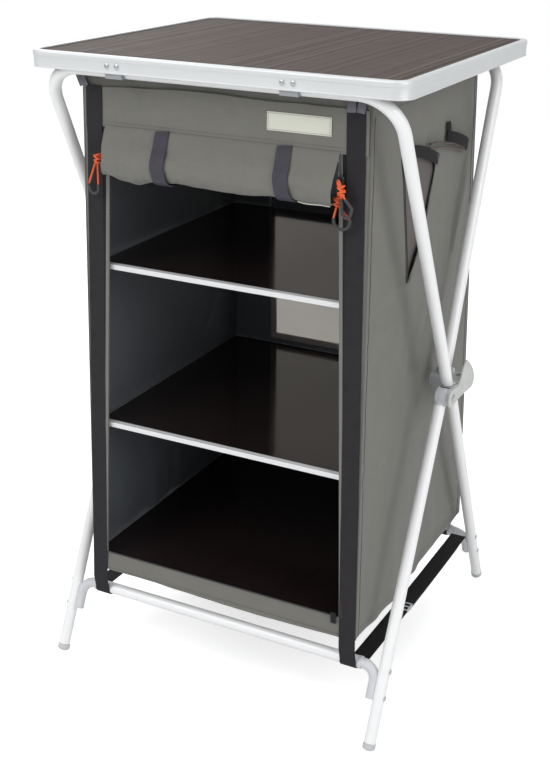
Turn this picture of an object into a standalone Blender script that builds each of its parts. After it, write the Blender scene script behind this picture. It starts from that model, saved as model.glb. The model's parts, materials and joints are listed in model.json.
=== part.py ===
"""Folding camping cupboard.

A railed table top stands on two folding frames. Each frame is an upper U of tube that turns in
saddles under the table, and two lower legs that hinge to it at the knees and are tied by a bottom
bar. A fabric cupboard with two shelves and a floor hangs between the frames on webbing straps.

World axes: X to the right, Y to the back, Z up, with the origin on the floor under the middle.
A frame's own coordinates are u, away from the middle to its side, v, from the middle towards its
own end (the front or the back), and z.
"""
import math

import bmesh
import bpy
from mathutils import Matrix, Vector

# Table top
TABLE_WIDTH = 0.600
TABLE_DEPTH = 0.532
TABLE_HEIGHT = 1.0236
RAIL_HEIGHT = 0.0248
RAIL_CORNER = 0.026
RAIL_WALL = 0.0020
RAIL_LIP_WIDTH = 0.0100
RAIL_LIP_THICKNESS = 0.0020
RAIL_BAND_HEIGHT = 0.0085
RAIL_FLANGE_HEIGHT = 0.0020
RAIL_RECESS = 0.0008
BOARD_THICKNESS = 0.0090
REBATE = 0.0004

# Frame tubes
TUBE_RADIUS = 0.0095
TUBE_WALL = 0.0012
FRAME_BEND = 0.060
CROSSBAR_INSET = 0.0192
CROSSBAR_DROP = 0.0236
FRONT_TRACK = 0.2915
TRACK_STEP = 0.0210
TOP_TUCK = 0.0115
STRAIGHT_END = 0.045
FOOT_REACH = 0.289
BAR_HEIGHT = 0.117

# Knee knuckles
KNEE_REACH = 0.044
KNEE_RISE = 0.010
KNEE_ARM = 0.0256
PIN_RADIUS = 0.0040
PIN_HEAD_RADIUS = 0.0065
PIN_HEAD_THICKNESS = 0.0020
BARREL_RADIUS = 0.0140
CHEEK_RADIUS = 0.0135
CHEEK_THICKNESS = 0.0025
INNER_CHEEK_THICKNESS = 0.0016
FRONT_KNUCKLE_INSET = 0.0075
FRONT_BARREL_LENGTH = 0.0187
BACK_KNUCKLE_OUTSET = 0.0055
BACK_BARREL_LENGTH = 0.0210
FORK_BLOCK_RADIUS = 0.0105
SPIGOT_LENGTH = 0.025
SPIGOT_PLAY = 0.0007

# Latch between the knees
BOSS_RADIUS = 0.0060
BOSS_LENGTH = 0.0075
LATCH_THICKNESS = 0.0032
JAW_WALL = 0.0038
JAW_RISE = 0.0040
LEAF_TAIL = 0.0170
LEAF_NOSE = 0.0145
LEAF_RISE = 0.0455
LEAF_DROP = 0.0165
LATCH_RING_RADIUS = 0.0052
LATCH_RING_HEIGHT = 0.0008

# Bottom bar elbows and feet
ELBOW_RADIUS = 0.0095
ELBOW_BEND = 0.020
ELBOW_ARM = 0.050
ELBOW_BITE = 0.0035
BAR_STOP = 0.0445
FOOT_RADIUS = 0.0102
FOOT_RIM = 0.0070
FOOT_DOME = 0.0045
FOOT_SHORTENING = 0.0130

# Crossbar saddles, at the rivet pairs of the rail
SADDLE_PLACES = (-0.150, 0.129)
SADDLE_LENGTH = 0.028
SADDLE_DEPTH = 0.0290
SADDLE_SKIRT = 0.0085

# Fabric body, hung inside the frames and above the bottom bars
CLOTH = 0.0016
BODY_DROP = 0.0038
BODY_INSET_TOP = 0.0595
BODY_INSET_BOTTOM = 0.0465
BODY_DEPTH_INSET_TOP = 0.0460
BODY_DEPTH_INSET_BOTTOM = 0.0205
FRONT_HEM_CLEARANCE = 0.043
SIDE_HEM_FRONT_CLEARANCE = 0.028
SIDE_HEM_BACK_CLEARANCE = 0.014
BACK_HEM_CLEARANCE = 0.048
CORNER_GAP = 0.0010
VALANCE = 0.075
EDGE_TOP = 0.0484
EDGE_BOTTOM = 0.0322
SILL_RISE = 0.006
WINDOW_SIDE = 0.085
WINDOW_RISE = 0.018
WINDOW_DROP = 0.095
WINDOW_SEAM = 0.010
BILLOW = 0.0030
HEM_WAVE = 0.0018
HEM_WAVES = 7

# The slit in the right wall: places from front to back, and drops below the body's top
SLIT = ((-0.079, 0.091), (0.000, 0.113), (0.059, 0.137), (0.046, 0.175), (0.020, 0.228), (-0.006, 0.271),
        (-0.037, 0.307), (-0.0405, 0.280), (-0.052, 0.216), (-0.066, 0.150))
SIDE_STRAP_ROUTE = ((-0.070, 0.0945), (-0.030, 0.1030), (0.015, 0.1180), (0.063, 0.1385))
SIDE_STRAP_STAND = 0.0012

# Shelves and floor
FLOOR_RISE = 0.030
BOTTOM_ROOM = 0.240
MIDDLE_ROOM = 0.267
SHELF_THICKNESS = 0.0040
SHELF_SIDE_GAP = 0.0050
SHELF_FRONT_GAP = 0.0040
SHELF_BACK_GAP = 0.0060
FLOOR_FRONT_GAP = 0.0100
STRIP_HEIGHT = 0.0080
STRIP_DEPTH = 0.0100
STRIP_WALL = 0.0015

# Rolled door and its ties
ROLL_OVERHANG = 0.0014
ROLL_HEIGHT = 0.0740
ROLL_DEPTH = 0.0360
ROLL_STAND = 0.0014
ROLL_PINCH = 0.022
TIE_PLACES = {"door_tie_left": -0.082, "door_tie_right": 0.117}
TIE_WIDTH = 0.023
TIE_PLAY = 0.0030
TIE_RISE = 0.0040

# Webbing
WEBBING = 0.0014
STRAP_WIDTH = 0.028
STRAP_TAB = 0.020
STRAP_BEND = 0.003
STRAP_TOP_INSET = 0.021
STRAP_END_GAP = 0.0005
BOTTOM_STRAP_WIDTH = 0.036
BOTTOM_STRAP_SAG = 0.006
SIDE_STRAP_WIDTH = 0.024
ADJUSTER_PLACE = -0.050
ADJUSTER_LENGTH = 0.024
ADJUSTER_THICKNESS = 0.0060
ADJUSTER_RIM = 0.0040
ADJUSTER_PLAY = 0.0010
ADJUSTER_GATE = 0.0070
ADJUSTER_CHEEK = 0.0030

# Zip sliders and their cord pulls
SLIDER_WIDTH = 0.0080
SLIDER_HEIGHT = 0.0130
SLIDER_THICKNESS = 0.0050
SLIDER_FOOT = 0.0045
ZIP_STAND = 0.0024
ZIP_LINE = 0.0050
SLIDER_EDGE = 0.0020
BRIDGE_WIDTH = 0.0030
BRIDGE_WALL = 0.0012
EYE_STAND = 0.0035
EYE_PLAY = 0.0006
PULL_CORD_RADIUS = 0.0015
PULL_LENGTH = 0.060
PULL_WIDTH = 0.0085
SLIDERS = {
    "left": {"side": -1, "drop": 0.048, "lift": 0.0},
    "right_upper": {"side": 1, "drop": 0.042, "lift": 0.0064},
    "right_lower": {"side": 1, "drop": 0.060, "lift": 0.0},
}

GAP = 0.0003
TUBE_SIDES = 12
TURNED_SIDES = 16
CUT_MARGIN = 0.004
MERGE = 0.00001

# Places worked out from the dimensions
HALF_WIDTH = TABLE_WIDTH / 2
HALF_DEPTH = TABLE_DEPTH / 2
RAIL_BOTTOM = TABLE_HEIGHT - RAIL_HEIGHT
BOARD_TOP = TABLE_HEIGHT - RAIL_LIP_THICKNESS - GAP
BOARD_BOTTOM = BOARD_TOP - BOARD_THICKNESS
CROSSBAR = Vector((HALF_DEPTH - CROSSBAR_INSET, TABLE_HEIGHT - CROSSBAR_DROP))
KNEE = Vector((KNEE_REACH, CROSSBAR.y / 2 + KNEE_RISE))
FOOT = Vector((FOOT_REACH, 0.0))
LEG_DIRECTION = (FOOT - KNEE).normalized()
LEG_LENGTH = (FOOT - KNEE).length
LEG_START = BARREL_RADIUS + GAP
KNEE_SPAN = (KNEE - CROSSBAR).length
UPPER_LENGTH = math.sqrt(KNEE_SPAN ** 2 - KNEE_ARM ** 2)
UPPER_DIRECTION = Matrix.Rotation(-math.asin(KNEE_ARM / KNEE_SPAN), 2) @ (KNEE - CROSSBAR).normalized()
UPPER_END = CROSSBAR + UPPER_DIRECTION * UPPER_LENGTH
BAR = Vector((FOOT_REACH + LEG_DIRECTION.x / LEG_DIRECTION.y * BAR_HEIGHT, BAR_HEIGHT))
SPIGOT_RADIUS = TUBE_RADIUS - TUBE_WALL - SPIGOT_PLAY

BODY_TOP = RAIL_BOTTOM - BODY_DROP
BODY_HALF_WIDTH_TOP = FRONT_TRACK - BODY_INSET_TOP
BODY_HALF_WIDTH_BOTTOM = FRONT_TRACK - BODY_INSET_BOTTOM
BODY_HALF_DEPTH_TOP = HALF_DEPTH - BODY_DEPTH_INSET_TOP
BODY_HALF_DEPTH_BOTTOM = HALF_DEPTH - BODY_DEPTH_INSET_BOTTOM
FRONT_HEM = BAR_HEIGHT + FRONT_HEM_CLEARANCE
SIDE_HEM_FRONT = BAR_HEIGHT + SIDE_HEM_FRONT_CLEARANCE
SIDE_HEM_BACK = BAR_HEIGHT + SIDE_HEM_BACK_CLEARANCE
BACK_HEM = BAR_HEIGHT + BACK_HEM_CLEARANCE
FLOOR_HEIGHT = FRONT_HEM + FLOOR_RISE
SHELF_HEIGHTS = {"shelf_middle": FLOOR_HEIGHT + BOTTOM_ROOM}
SHELF_HEIGHTS["shelf_top"] = SHELF_HEIGHTS["shelf_middle"] + MIDDLE_ROOM
OPENING_TOP = BODY_TOP - VALANCE
OPENING_BOTTOM = FLOOR_HEIGHT + SILL_RISE
OPENING_HALF_WIDTH_TOP = BODY_HALF_WIDTH_TOP - EDGE_TOP
OPENING_HALF_WIDTH_BOTTOM = BODY_HALF_WIDTH_BOTTOM - EDGE_BOTTOM
WINDOW_HALF_WIDTH = BODY_HALF_WIDTH_TOP - WINDOW_SIDE
WINDOW_BOTTOM = SHELF_HEIGHTS["shelf_middle"] + WINDOW_RISE
WINDOW_TOP = BODY_TOP - WINDOW_DROP
ROLL_HALF_LENGTH = OPENING_HALF_WIDTH_TOP + ROLL_OVERHANG
ROLL_MIDDLE = OPENING_TOP - ROLL_STAND - ROLL_HEIGHT / 2
STRAP_TOP_PLACE = BODY_HALF_WIDTH_TOP - STRAP_TOP_INSET
STRAP_REACH = BAR.x - TUBE_RADIUS - WEBBING - 4 * GAP

# One frame at each end: its side of the table, its tubes' plane and its knuckle's slices along u
FRAMES = {
    "front": {
        "end": -1,
        "track": FRONT_TRACK,
        "knuckle": FRONT_TRACK - FRONT_KNUCKLE_INSET,
        "barrel_length": FRONT_BARREL_LENGTH,
        "outer_cheek": CHEEK_THICKNESS,
    },
    "back": {
        "end": 1,
        "track": FRONT_TRACK - TRACK_STEP,
        "knuckle": FRONT_TRACK - TRACK_STEP + BACK_KNUCKLE_OUTSET - 2 * INNER_CHEEK_THICKNESS
        - BACK_BARREL_LENGTH - 2 * GAP,
        "barrel_length": BACK_BARREL_LENGTH,
        "outer_cheek": INNER_CHEEK_THICKNESS,
    },
}
for data in FRAMES.values():
    data["strap"] = data["track"] - BAR_STOP - STRAP_END_GAP - STRAP_WIDTH / 2
    data["barrel"] = data["knuckle"] + INNER_CHEEK_THICKNESS + GAP
    data["cheek"] = data["barrel"] + data["barrel_length"] + GAP
    data["face"] = data["cheek"] + data["outer_cheek"]
SIDES = {"left": -1, "right": 1}
LATCH_FACE = FRAMES["front"]["face"] + GAP
SWING_MIDDLE = FRAMES["back"]["track"] + TUBE_RADIUS + 2 * GAP


def body_half(z, at_top, at_bottom):
    """A half width or half depth of the fabric body at a height: it flares towards the floor."""
    share = (BODY_TOP - z) / (BODY_TOP - SIDE_HEM_FRONT)
    return at_top + (at_bottom - at_top) * share


def half_width(z):
    return body_half(z, BODY_HALF_WIDTH_TOP, BODY_HALF_WIDTH_BOTTOM)


def half_depth(z):
    return body_half(z, BODY_HALF_DEPTH_TOP, BODY_HALF_DEPTH_BOTTOM)


def opening_half(z):
    share = (OPENING_TOP - z) / (OPENING_TOP - OPENING_BOTTOM)
    return OPENING_HALF_WIDTH_TOP + (OPENING_HALF_WIDTH_BOTTOM - OPENING_HALF_WIDTH_TOP) * share


# Scene, materials and modelling helpers

for old in list(bpy.data.objects):
    bpy.data.objects.remove(old, do_unlink=True)

PARTS = bpy.data.collections.new("camping_cupboard")
CUTTERS = bpy.data.collections.new("cutters")
for collection in (PARTS, CUTTERS):
    bpy.context.scene.collection.children.link(collection)


def principled(name, colour, roughness, metallic=0.0):
    made = bpy.data.materials.new(name)
    made.use_nodes = True
    shader = made.node_tree.nodes["Principled BSDF"]
    shader.inputs["Base Color"].default_value = (*colour, 1.0)
    shader.inputs["Roughness"].default_value = roughness
    shader.inputs["Metallic"].default_value = metallic
    made.diffuse_color = (*colour, 1.0)
    return made


MATERIALS = {
    "aluminium": principled("satin_aluminium", (0.80, 0.81, 0.81), 0.35, 0.6),
    "board": principled("striped_board", (0.12, 0.10, 0.095), 0.45),
    "grey_plastic": principled("grey_plastic", (0.58, 0.60, 0.62), 0.45),
    "latch_plastic": principled("latch_plastic", (0.50, 0.51, 0.49), 0.50),
    "dark_plastic": principled("dark_plastic", (0.27, 0.28, 0.28), 0.50),
    "fabric": principled("grey_olive_fabric", (0.165, 0.162, 0.148), 0.85),
    "lining": principled("slate_lining", (0.030, 0.034, 0.037), 0.60),
    "window": principled("window_mesh", (0.45, 0.45, 0.43), 0.80),
    "webbing": principled("charcoal_webbing", (0.040, 0.038, 0.040), 0.80),
    "shelf": principled("dark_shelf", (0.012, 0.009, 0.009), 0.15),
    "zip_metal": principled("zip_metal", (0.10, 0.10, 0.10), 0.40, 0.8),
    "pull_cord": principled("orange_cord", (0.75, 0.13, 0.03), 0.60),
}


def make_object(name, mesh, cutter=False):
    made = bpy.data.objects.new(name, mesh)
    (CUTTERS if cutter else PARTS).objects.link(made)
    if cutter:
        made.hide_render = True
        made.display_type = "WIRE"
    return made


def from_bmesh(name, form, cutter=False):
    bmesh.ops.recalc_face_normals(form, faces=form.faces)
    mesh = bpy.data.meshes.new(name)
    form.to_mesh(mesh)
    form.free()
    return make_object(name, mesh, cutter)


def evaluated_mesh(source):
    graph = bpy.context.evaluated_depsgraph_get()
    return bpy.data.meshes.new_from_object(source.evaluated_get(graph))


def curve_to_solid(curve_object, cutter=False):
    """The curve's closed mesh, with its caps welded; the curve itself is removed."""
    bpy.context.view_layer.update()
    form = bmesh.new()
    form.from_mesh(evaluated_mesh(curve_object))
    form.transform(curve_object.matrix_world)
    bmesh.ops.remove_doubles(form, verts=form.verts, dist=MERGE)
    name = curve_object.name
    bpy.data.objects.remove(curve_object, do_unlink=True)
    return from_bmesh(name, form, cutter)


def block(name, low, high, cutter=False, bevel=0.0):
    form = bmesh.new()
    low, high = Vector(low), Vector(high)
    middle = (low + high) / 2
    size = [abs(a - b) for a, b in zip(high, low)]
    bmesh.ops.create_cube(form, size=1.0, matrix=Matrix.Translation(middle) @ Matrix.Diagonal((*size, 1.0)))
    made = from_bmesh(name, form, cutter)
    if bevel:
        soften(made, bevel)
    return made


def cylinder(name, start, stop, radius, cutter=False, sides=TURNED_SIDES):
    start, stop = Vector(start), Vector(stop)
    turn = (stop - start).to_track_quat("Z", "Y").to_matrix().to_4x4()
    form = bmesh.new()
    bmesh.ops.create_cone(
        form, cap_ends=True, segments=sides, radius1=radius, radius2=radius,
        depth=(stop - start).length, matrix=Matrix.Translation((start + stop) / 2) @ turn,
    )
    return from_bmesh(name, form, cutter)


def arc(middle, radius, start, stop, steps):
    """Points of an arc in a plane, from start to stop in degrees."""
    turns = [math.radians(start + (stop - start) * i / steps) for i in range(steps + 1)]
    return [Vector((middle[0] + radius * math.cos(t), middle[1] + radius * math.sin(t))) for t in turns]


def rounded_route(corners, radius, steps=6):
    """A route through corners in space, each inner corner rounded to a radius."""
    corners = [Vector(c) for c in corners]
    route = [corners[0]]
    for before, corner, after in zip(corners, corners[1:], corners[2:]):
        towards, away = (before - corner).normalized(), (after - corner).normalized()
        half = towards.angle(away) / 2
        reach = radius / math.tan(half)
        if math.pi - 2 * half < math.radians(5):
            route.append(corner)
            continue
        middle = corner + (towards + away).normalized() * (radius / math.sin(half))
        first, last = corner + towards * reach - middle, corner + away * reach - middle
        for i in range(steps + 1):
            route.append(middle + first.slerp(last, i / steps).normalized() * radius)
    route.append(corners[-1])
    return route


def rod(name, route, radius, cutter=False, sides=TUBE_SIDES, bore=0.0):
    """A round rod along a route, or a tube where a bore is given."""
    data = bpy.data.curves.new(name, "CURVE")
    data.dimensions = "3D"
    data.bevel_depth = radius
    data.bevel_resolution = sides // 2 - 2
    data.use_fill_caps = not bore
    spline = data.splines.new("POLY")
    spline.points.add(len(route) - 1)
    for point, place in zip(spline.points, route):
        point.co = (*place, 1.0)
    made = curve_to_solid(make_object(name, data, cutter), cutter)
    if bore:
        wall = made.modifiers.new("tube_wall", "SOLIDIFY")
        wall.thickness = radius - bore
        wall.offset = -1.0
        wall.use_even_offset = True
    return made


def flat_curve(name, outlines, thickness, bezier=False):
    """A filled flat curve object, lying in its own XY plane; later outlines are holes."""
    data = bpy.data.curves.new(name, "CURVE")
    data.dimensions = "2D"
    data.fill_mode = "BOTH"
    data.extrude = thickness / 2
    data.resolution_u = 3
    for outline in outlines:
        spline = data.splines.new("BEZIER" if bezier else "POLY")
        points = spline.bezier_points if bezier else spline.points
        points.add(len(outline) - 1)
        for point, (a, b) in zip(points, outline):
            if bezier:
                point.co = (a, b, 0.0)
                point.handle_left_type = point.handle_right_type = "AUTO"
            else:
                point.co = (a, b, 0.0, 1.0)
        spline.use_cyclic_u = True
    return data


def side_plate(name, outlines, x_low, x_high, cutter=False, bezier=False):
    """A plate whose outline is drawn in Y and Z, between two places along X."""
    data = flat_curve(name, outlines, abs(x_high - x_low), bezier)
    made = make_object(name, data, cutter)
    facing = Matrix(((0, 0, 1, 0), (1, 0, 0, 0), (0, 1, 0, 0), (0, 0, 0, 1)))
    made.matrix_world = Matrix.Translation(((x_low + x_high) / 2, 0, 0)) @ facing
    return curve_to_solid(made, cutter)


def level_plate(name, outlines, z_low, z_high, cutter=False):
    """A plate whose outline is drawn in X and Y, between two heights."""
    made = make_object(name, flat_curve(name, outlines, z_high - z_low), cutter)
    made.location.z = (z_low + z_high) / 2
    return curve_to_solid(made, cutter)


def turned(name, profile, start, direction, sides=TURNED_SIDES):
    """A turned piece: profile pairs of radius and distance, run down its outer side."""
    form = bmesh.new()
    points = [form.verts.new((radius, 0.0, -distance)) for radius, distance in profile]
    for a, b in zip(points, points[1:]):
        form.edges.new((a, b))
    mesh = bpy.data.meshes.new(name)
    form.to_mesh(mesh)
    form.free()
    made = make_object(name, mesh)
    screw = made.modifiers.new("turn", "SCREW")
    screw.steps = screw.render_steps = sides
    screw.use_merge_vertices = True
    screw.merge_threshold = MERGE
    turn = (-Vector(direction)).to_track_quat("Z", "Y").to_matrix().to_4x4()
    made.matrix_world = Matrix.Translation(start) @ turn
    return made


def combine(base, tool, operation):
    if tool.name not in CUTTERS.objects:
        PARTS.objects.unlink(tool)
        CUTTERS.objects.link(tool)
        tool.hide_render = True
        tool.display_type = "WIRE"
    step = base.modifiers.new(tool.name, "BOOLEAN")
    step.operation = operation
    step.object = tool
    step.solver = "EXACT"
    return base


def cut(base, tool):
    return combine(base, tool, "DIFFERENCE")


def join(base, tool):
    return combine(base, tool, "UNION")


def keep_inside(base, tool):
    return combine(base, tool, "INTERSECT")


def soften(made, width, segments=2):
    edges = made.modifiers.new("edges", "BEVEL")
    edges.width = width
    edges.segments = segments
    edges.limit_method = "ANGLE"
    edges.angle_limit = math.radians(50)
    return made


def finish(made, material, parent=None):
    """Give a piece its material and shading, and hang it from its pivot."""
    made.data.materials.clear()
    made.data.materials.append(MATERIALS[material])
    made.data.shade_smooth()
    made.data.set_sharp_from_angle(angle=math.radians(40))
    if parent:
        bpy.context.view_layer.update()
        made.parent = parent
        made.matrix_parent_inverse = parent.matrix_world.inverted()
    return made


def pivot(name, place, parent=None):
    """An empty on a joint's axis, which the pieces of one moving body hang from."""
    made = make_object(name, None)
    made.empty_display_size = 0.02
    if parent:
        made.parent = parent
        made.matrix_parent_inverse = parent.matrix_world.inverted()
    made.location = place
    bpy.context.view_layer.update()
    return made


def place(end, side, u, point):
    """World place of a frame's own coordinates: u, and a point of v and z."""
    return Vector((side * u, end * point[0], point[1]))


def across(end, outline):
    """An outline of v and z as an outline of world Y and Z."""
    return [(end * v, z) for v, z in outline]


def span(side, u_low, u_high):
    """World X limits of a slice along u."""
    return sorted((side * u_low, side * u_high))


# Table top

def rounded_rectangle(half_x, half_y, radius, steps=5):
    corners = ((half_x - radius, half_y - radius, 0), (-half_x + radius, half_y - radius, 90),
               (-half_x + radius, -half_y + radius, 180), (half_x - radius, -half_y + radius, 270))
    points = []
    for x, y, start in corners:
        points += arc((x, y), radius, start, start + 90, steps)
    return points


def table_ring(name, outer_inset, inner_inset, z_low, z_high, cutter=False):
    """A flat ring that follows the table's edge, between two insets from it."""
    rings = []
    for inset in (outer_inset, inner_inset):
        corner = max(RAIL_CORNER - inset, RAIL_WALL)
        rings.append(rounded_rectangle(HALF_WIDTH - inset, HALF_DEPTH - inset, corner))
    return level_plate(name, rings, z_low, z_high, cutter)


def table_top():
    """The rail is an extrusion: a wall with an upper band, a recessed face, a foot flange and a lip."""
    rail = table_ring("table_rail", 0.0, RAIL_WALL + RAIL_RECESS, RAIL_BOTTOM, TABLE_HEIGHT)
    lip = table_ring("rail_lip", RAIL_WALL / 2, RAIL_LIP_WIDTH, TABLE_HEIGHT - RAIL_LIP_THICKNESS,
                     TABLE_HEIGHT)
    recess = table_ring("rail_recess", -CUT_MARGIN, RAIL_RECESS, RAIL_BOTTOM + RAIL_FLANGE_HEIGHT,
                        TABLE_HEIGHT - RAIL_BAND_HEIGHT, cutter=True)
    join(rail, lip)
    cut(rail, recess)
    finish(rail, "aluminium")

    inset = RAIL_WALL + RAIL_RECESS + GAP
    edge = rounded_rectangle(HALF_WIDTH - inset, HALF_DEPTH - inset, RAIL_CORNER - inset)
    board = level_plate("table_board", [edge], BOARD_BOTTOM, BOARD_TOP)
    rebate = table_ring("board_rebate", -CUT_MARGIN, RAIL_LIP_WIDTH + GAP, BOARD_TOP - REBATE,
                        BOARD_TOP + CUT_MARGIN, cutter=True)
    cut(board, rebate)
    finish(board, "board")


def saddle(name, end, x):
    """A clip under the board, riveted to the rail, in which a crossbar turns."""
    v_high = HALF_DEPTH - RAIL_WALL - RAIL_RECESS - GAP
    y_low, y_high = sorted((end * v_high, end * (v_high - SADDLE_DEPTH)))
    half = SADDLE_LENGTH / 2
    clip = block(name, (x - half, y_low, CROSSBAR.y - SADDLE_SKIRT), (x + half, y_high, BOARD_BOTTOM - GAP))
    bore = cylinder(name + "_bore", (x - half - CUT_MARGIN, end * CROSSBAR.x, CROSSBAR.y),
                    (x + half + CUT_MARGIN, end * CROSSBAR.x, CROSSBAR.y), TUBE_RADIUS + GAP, cutter=True)
    cut(clip, bore)
    finish(clip, "grey_plastic")


# Folding frames

def upper_frame(name, frame, parent):
    """The U of tube: a crossbar in the saddles and two legs that end at the knees."""
    end, track = frame["end"], frame["track"]
    straight = UPPER_END - UPPER_DIRECTION * STRAIGHT_END
    half = [(track, UPPER_END), (track, straight), (track - TOP_TUCK, CROSSBAR)]
    corners = [place(end, 1, u, p) for u, p in half] + [place(end, -1, u, p) for u, p in reversed(half)]
    tube = rod(name, rounded_route(corners, FRAME_BEND, 6), TUBE_RADIUS, bore=TUBE_RADIUS - TUBE_WALL)
    finish(tube, "aluminium", parent)


def tangent_hull(first, first_radius, second, second_radius, steps=8):
    """The outline of a belt round two circles."""
    line = second - first
    heading = math.degrees(math.atan2(line.y, line.x))
    lean = math.degrees(math.asin((first_radius - second_radius) / line.length))
    turn = 90 - lean
    return (arc(first, first_radius, heading + turn, heading + 360 - turn, steps)
            + arc(second, second_radius, heading - turn, heading + turn, steps))


def fork(name, frame, side, parent):
    """The moulding in the upper tube's end: two cheeks, the pin through them and a spigot."""
    end = frame["end"]
    seat = UPPER_END + UPPER_DIRECTION * (FORK_BLOCK_RADIUS + GAP)
    hull = tangent_hull(KNEE, CHEEK_RADIUS, seat, FORK_BLOCK_RADIUS)
    low, high = span(side, frame["knuckle"], frame["face"])
    body = side_plate(name, [across(end, hull)], low, high)

    slot_low, slot_high = span(side, frame["barrel"] - GAP, frame["cheek"])
    room = cylinder(name + "_barrel_room", (slot_low, end * KNEE.x, KNEE.y),
                    (slot_high, end * KNEE.x, KNEE.y), BARREL_RADIUS + 3 * GAP, cutter=True)
    cut(body, room)

    top = UPPER_END - UPPER_DIRECTION * (2 * TUBE_RADIUS)
    tip = UPPER_END + UPPER_DIRECTION * GAP
    tube_room = cylinder(name + "_tube_room", place(end, side, frame["track"], top),
                         place(end, side, frame["track"], tip), TUBE_RADIUS + GAP, cutter=True)
    cut(body, tube_room)
    # The tube's own plane stands proud of the knuckle on one side, where the seat stays open.
    open_u = frame["knuckle"] - CUT_MARGIN if end < 0 else frame["face"] + CUT_MARGIN
    across_tube = Vector((-UPPER_DIRECTION.y, UPPER_DIRECTION.x)) * (TUBE_RADIUS + GAP)
    opening = [top - across_tube, top + across_tube, tip + across_tube, tip - across_tube]
    side_room = side_plate(name + "_side_room", [across(end, opening)],
                           *span(side, frame["track"], open_u), cutter=True)
    cut(body, side_room)

    inside = UPPER_END - UPPER_DIRECTION * SPIGOT_LENGTH
    spigot = cylinder(name + "_spigot", place(end, side, frame["track"], inside),
                      place(end, side, frame["track"], seat), SPIGOT_RADIUS, sides=TUBE_SIDES)
    low, high = span(side, frame["knuckle"] + GAP, frame["face"] - GAP)
    slab = block(name + "_slab", (low, -HALF_DEPTH, 0.0), (high, HALF_DEPTH, TABLE_HEIGHT), cutter=True)
    keep_inside(spigot, slab)
    join(body, spigot)

    head = frame["knuckle"] + INNER_CHEEK_THICKNESS / 2
    if end < 0:
        stub = LATCH_FACE + LATCH_THICKNESS + GAP
        pin = cylinder(name + "_pin", place(end, side, head, KNEE),
                       place(end, side, stub + PIN_HEAD_THICKNESS / 2, KNEE), PIN_RADIUS)
        cap = cylinder(name + "_pin_head", place(end, side, stub, KNEE),
                       place(end, side, stub + PIN_HEAD_THICKNESS, KNEE), PIN_HEAD_RADIUS)
    else:
        face = frame["face"]
        pin = cylinder(name + "_pin", place(end, side, head, KNEE),
                       place(end, side, face - INNER_CHEEK_THICKNESS / 4, KNEE), PIN_RADIUS)
        cap = cylinder(name + "_boss", place(end, side, face - INNER_CHEEK_THICKNESS / 2, KNEE),
                       place(end, side, face + BOSS_LENGTH, KNEE), BOSS_RADIUS)
    join(body, pin)
    join(body, cap)
    finish(body, "grey_plastic", parent)


def barrel(name, frame, side, parent):
    """The moulding in the lower leg's top: a barrel on the pin, a neck and a spigot."""
    end = frame["end"]
    low, high = frame["barrel"], frame["barrel"] + frame["barrel_length"]
    body = cylinder(name, place(end, side, low, KNEE), place(end, side, high, KNEE), BARREL_RADIUS)
    neck_end = KNEE + LEG_DIRECTION * LEG_START
    neck = cylinder(name + "_neck", place(end, side, frame["track"], KNEE),
                    place(end, side, frame["track"], neck_end), SPIGOT_RADIUS, sides=TUBE_SIDES)
    slab_low, slab_high = span(side, low + GAP, high - GAP)
    slab = block(name + "_slab", (slab_low, -HALF_DEPTH, 0.0), (slab_high, HALF_DEPTH, TABLE_HEIGHT),
                 cutter=True)
    keep_inside(neck, slab)
    join(body, neck)
    spigot = cylinder(name + "_spigot", place(end, side, frame["track"], neck_end - LEG_DIRECTION * 2 * GAP),
                      place(end, side, frame["track"], neck_end + LEG_DIRECTION * SPIGOT_LENGTH),
                      SPIGOT_RADIUS - GAP / 3, sides=TUBE_SIDES)
    join(body, spigot)
    bore = cylinder(name + "_bore", place(end, side, low - CUT_MARGIN, KNEE),
                    place(end, side, high + CUT_MARGIN, KNEE), PIN_RADIUS + GAP, cutter=True)
    cut(body, bore)
    finish(body, "grey_plastic", parent)


def leg(name, frame, side, parent):
    end, track = frame["end"], frame["track"]
    top = KNEE + LEG_DIRECTION * (LEG_START + GAP)
    bottom = KNEE + LEG_DIRECTION * (LEG_LENGTH - FOOT_SHORTENING)
    tube = rod(name, [place(end, side, track, top), place(end, side, track, bottom)], TUBE_RADIUS,
               bore=TUBE_RADIUS - TUBE_WALL)
    finish(tube, "aluminium", parent)


def foot(name, frame, side, parent):
    """The end cap of a leg: a plug in the tube, a rim and a domed end, worn flat on the floor."""
    end, track = frame["end"], frame["track"]
    start = KNEE + LEG_DIRECTION * (LEG_LENGTH - FOOT_SHORTENING + GAP)
    dome = [(FOOT_RADIUS * math.cos(math.radians(a)), FOOT_RIM + FOOT_DOME * math.sin(math.radians(a)))
            for a in range(0, 91, 15)]
    dome[-1] = (0.0, FOOT_RIM + FOOT_DOME)
    plug = -SPIGOT_LENGTH * 0.7
    profile = [(0.0, plug), (SPIGOT_RADIUS, plug), (SPIGOT_RADIUS, 0.0), (FOOT_RADIUS, 0.0)] + dome
    direction = place(end, side, 0.0, LEG_DIRECTION)
    cap = turned(name, profile, place(end, side, track, start), direction)
    below = block(name + "_floor", (side * track - 0.03, end * FOOT_REACH - 0.05, -0.03),
                  (side * track + 0.03, end * FOOT_REACH + 0.05, 0.0), cutter=True)
    cut(cap, below)
    finish(cap, "grey_plastic", parent)


def bar_end(frame):
    """How far along u a bottom bar reaches before its elbow."""
    return frame["track"] - BAR_STOP


def bottom_bar(name, frame, parent):
    end, reach = frame["end"], bar_end(frame) - GAP
    tube = rod(name, [place(end, -1, reach, BAR), place(end, 1, reach, BAR)], TUBE_RADIUS,
               bore=TUBE_RADIUS - TUBE_WALL)
    finish(tube, "aluminium", parent)


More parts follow.
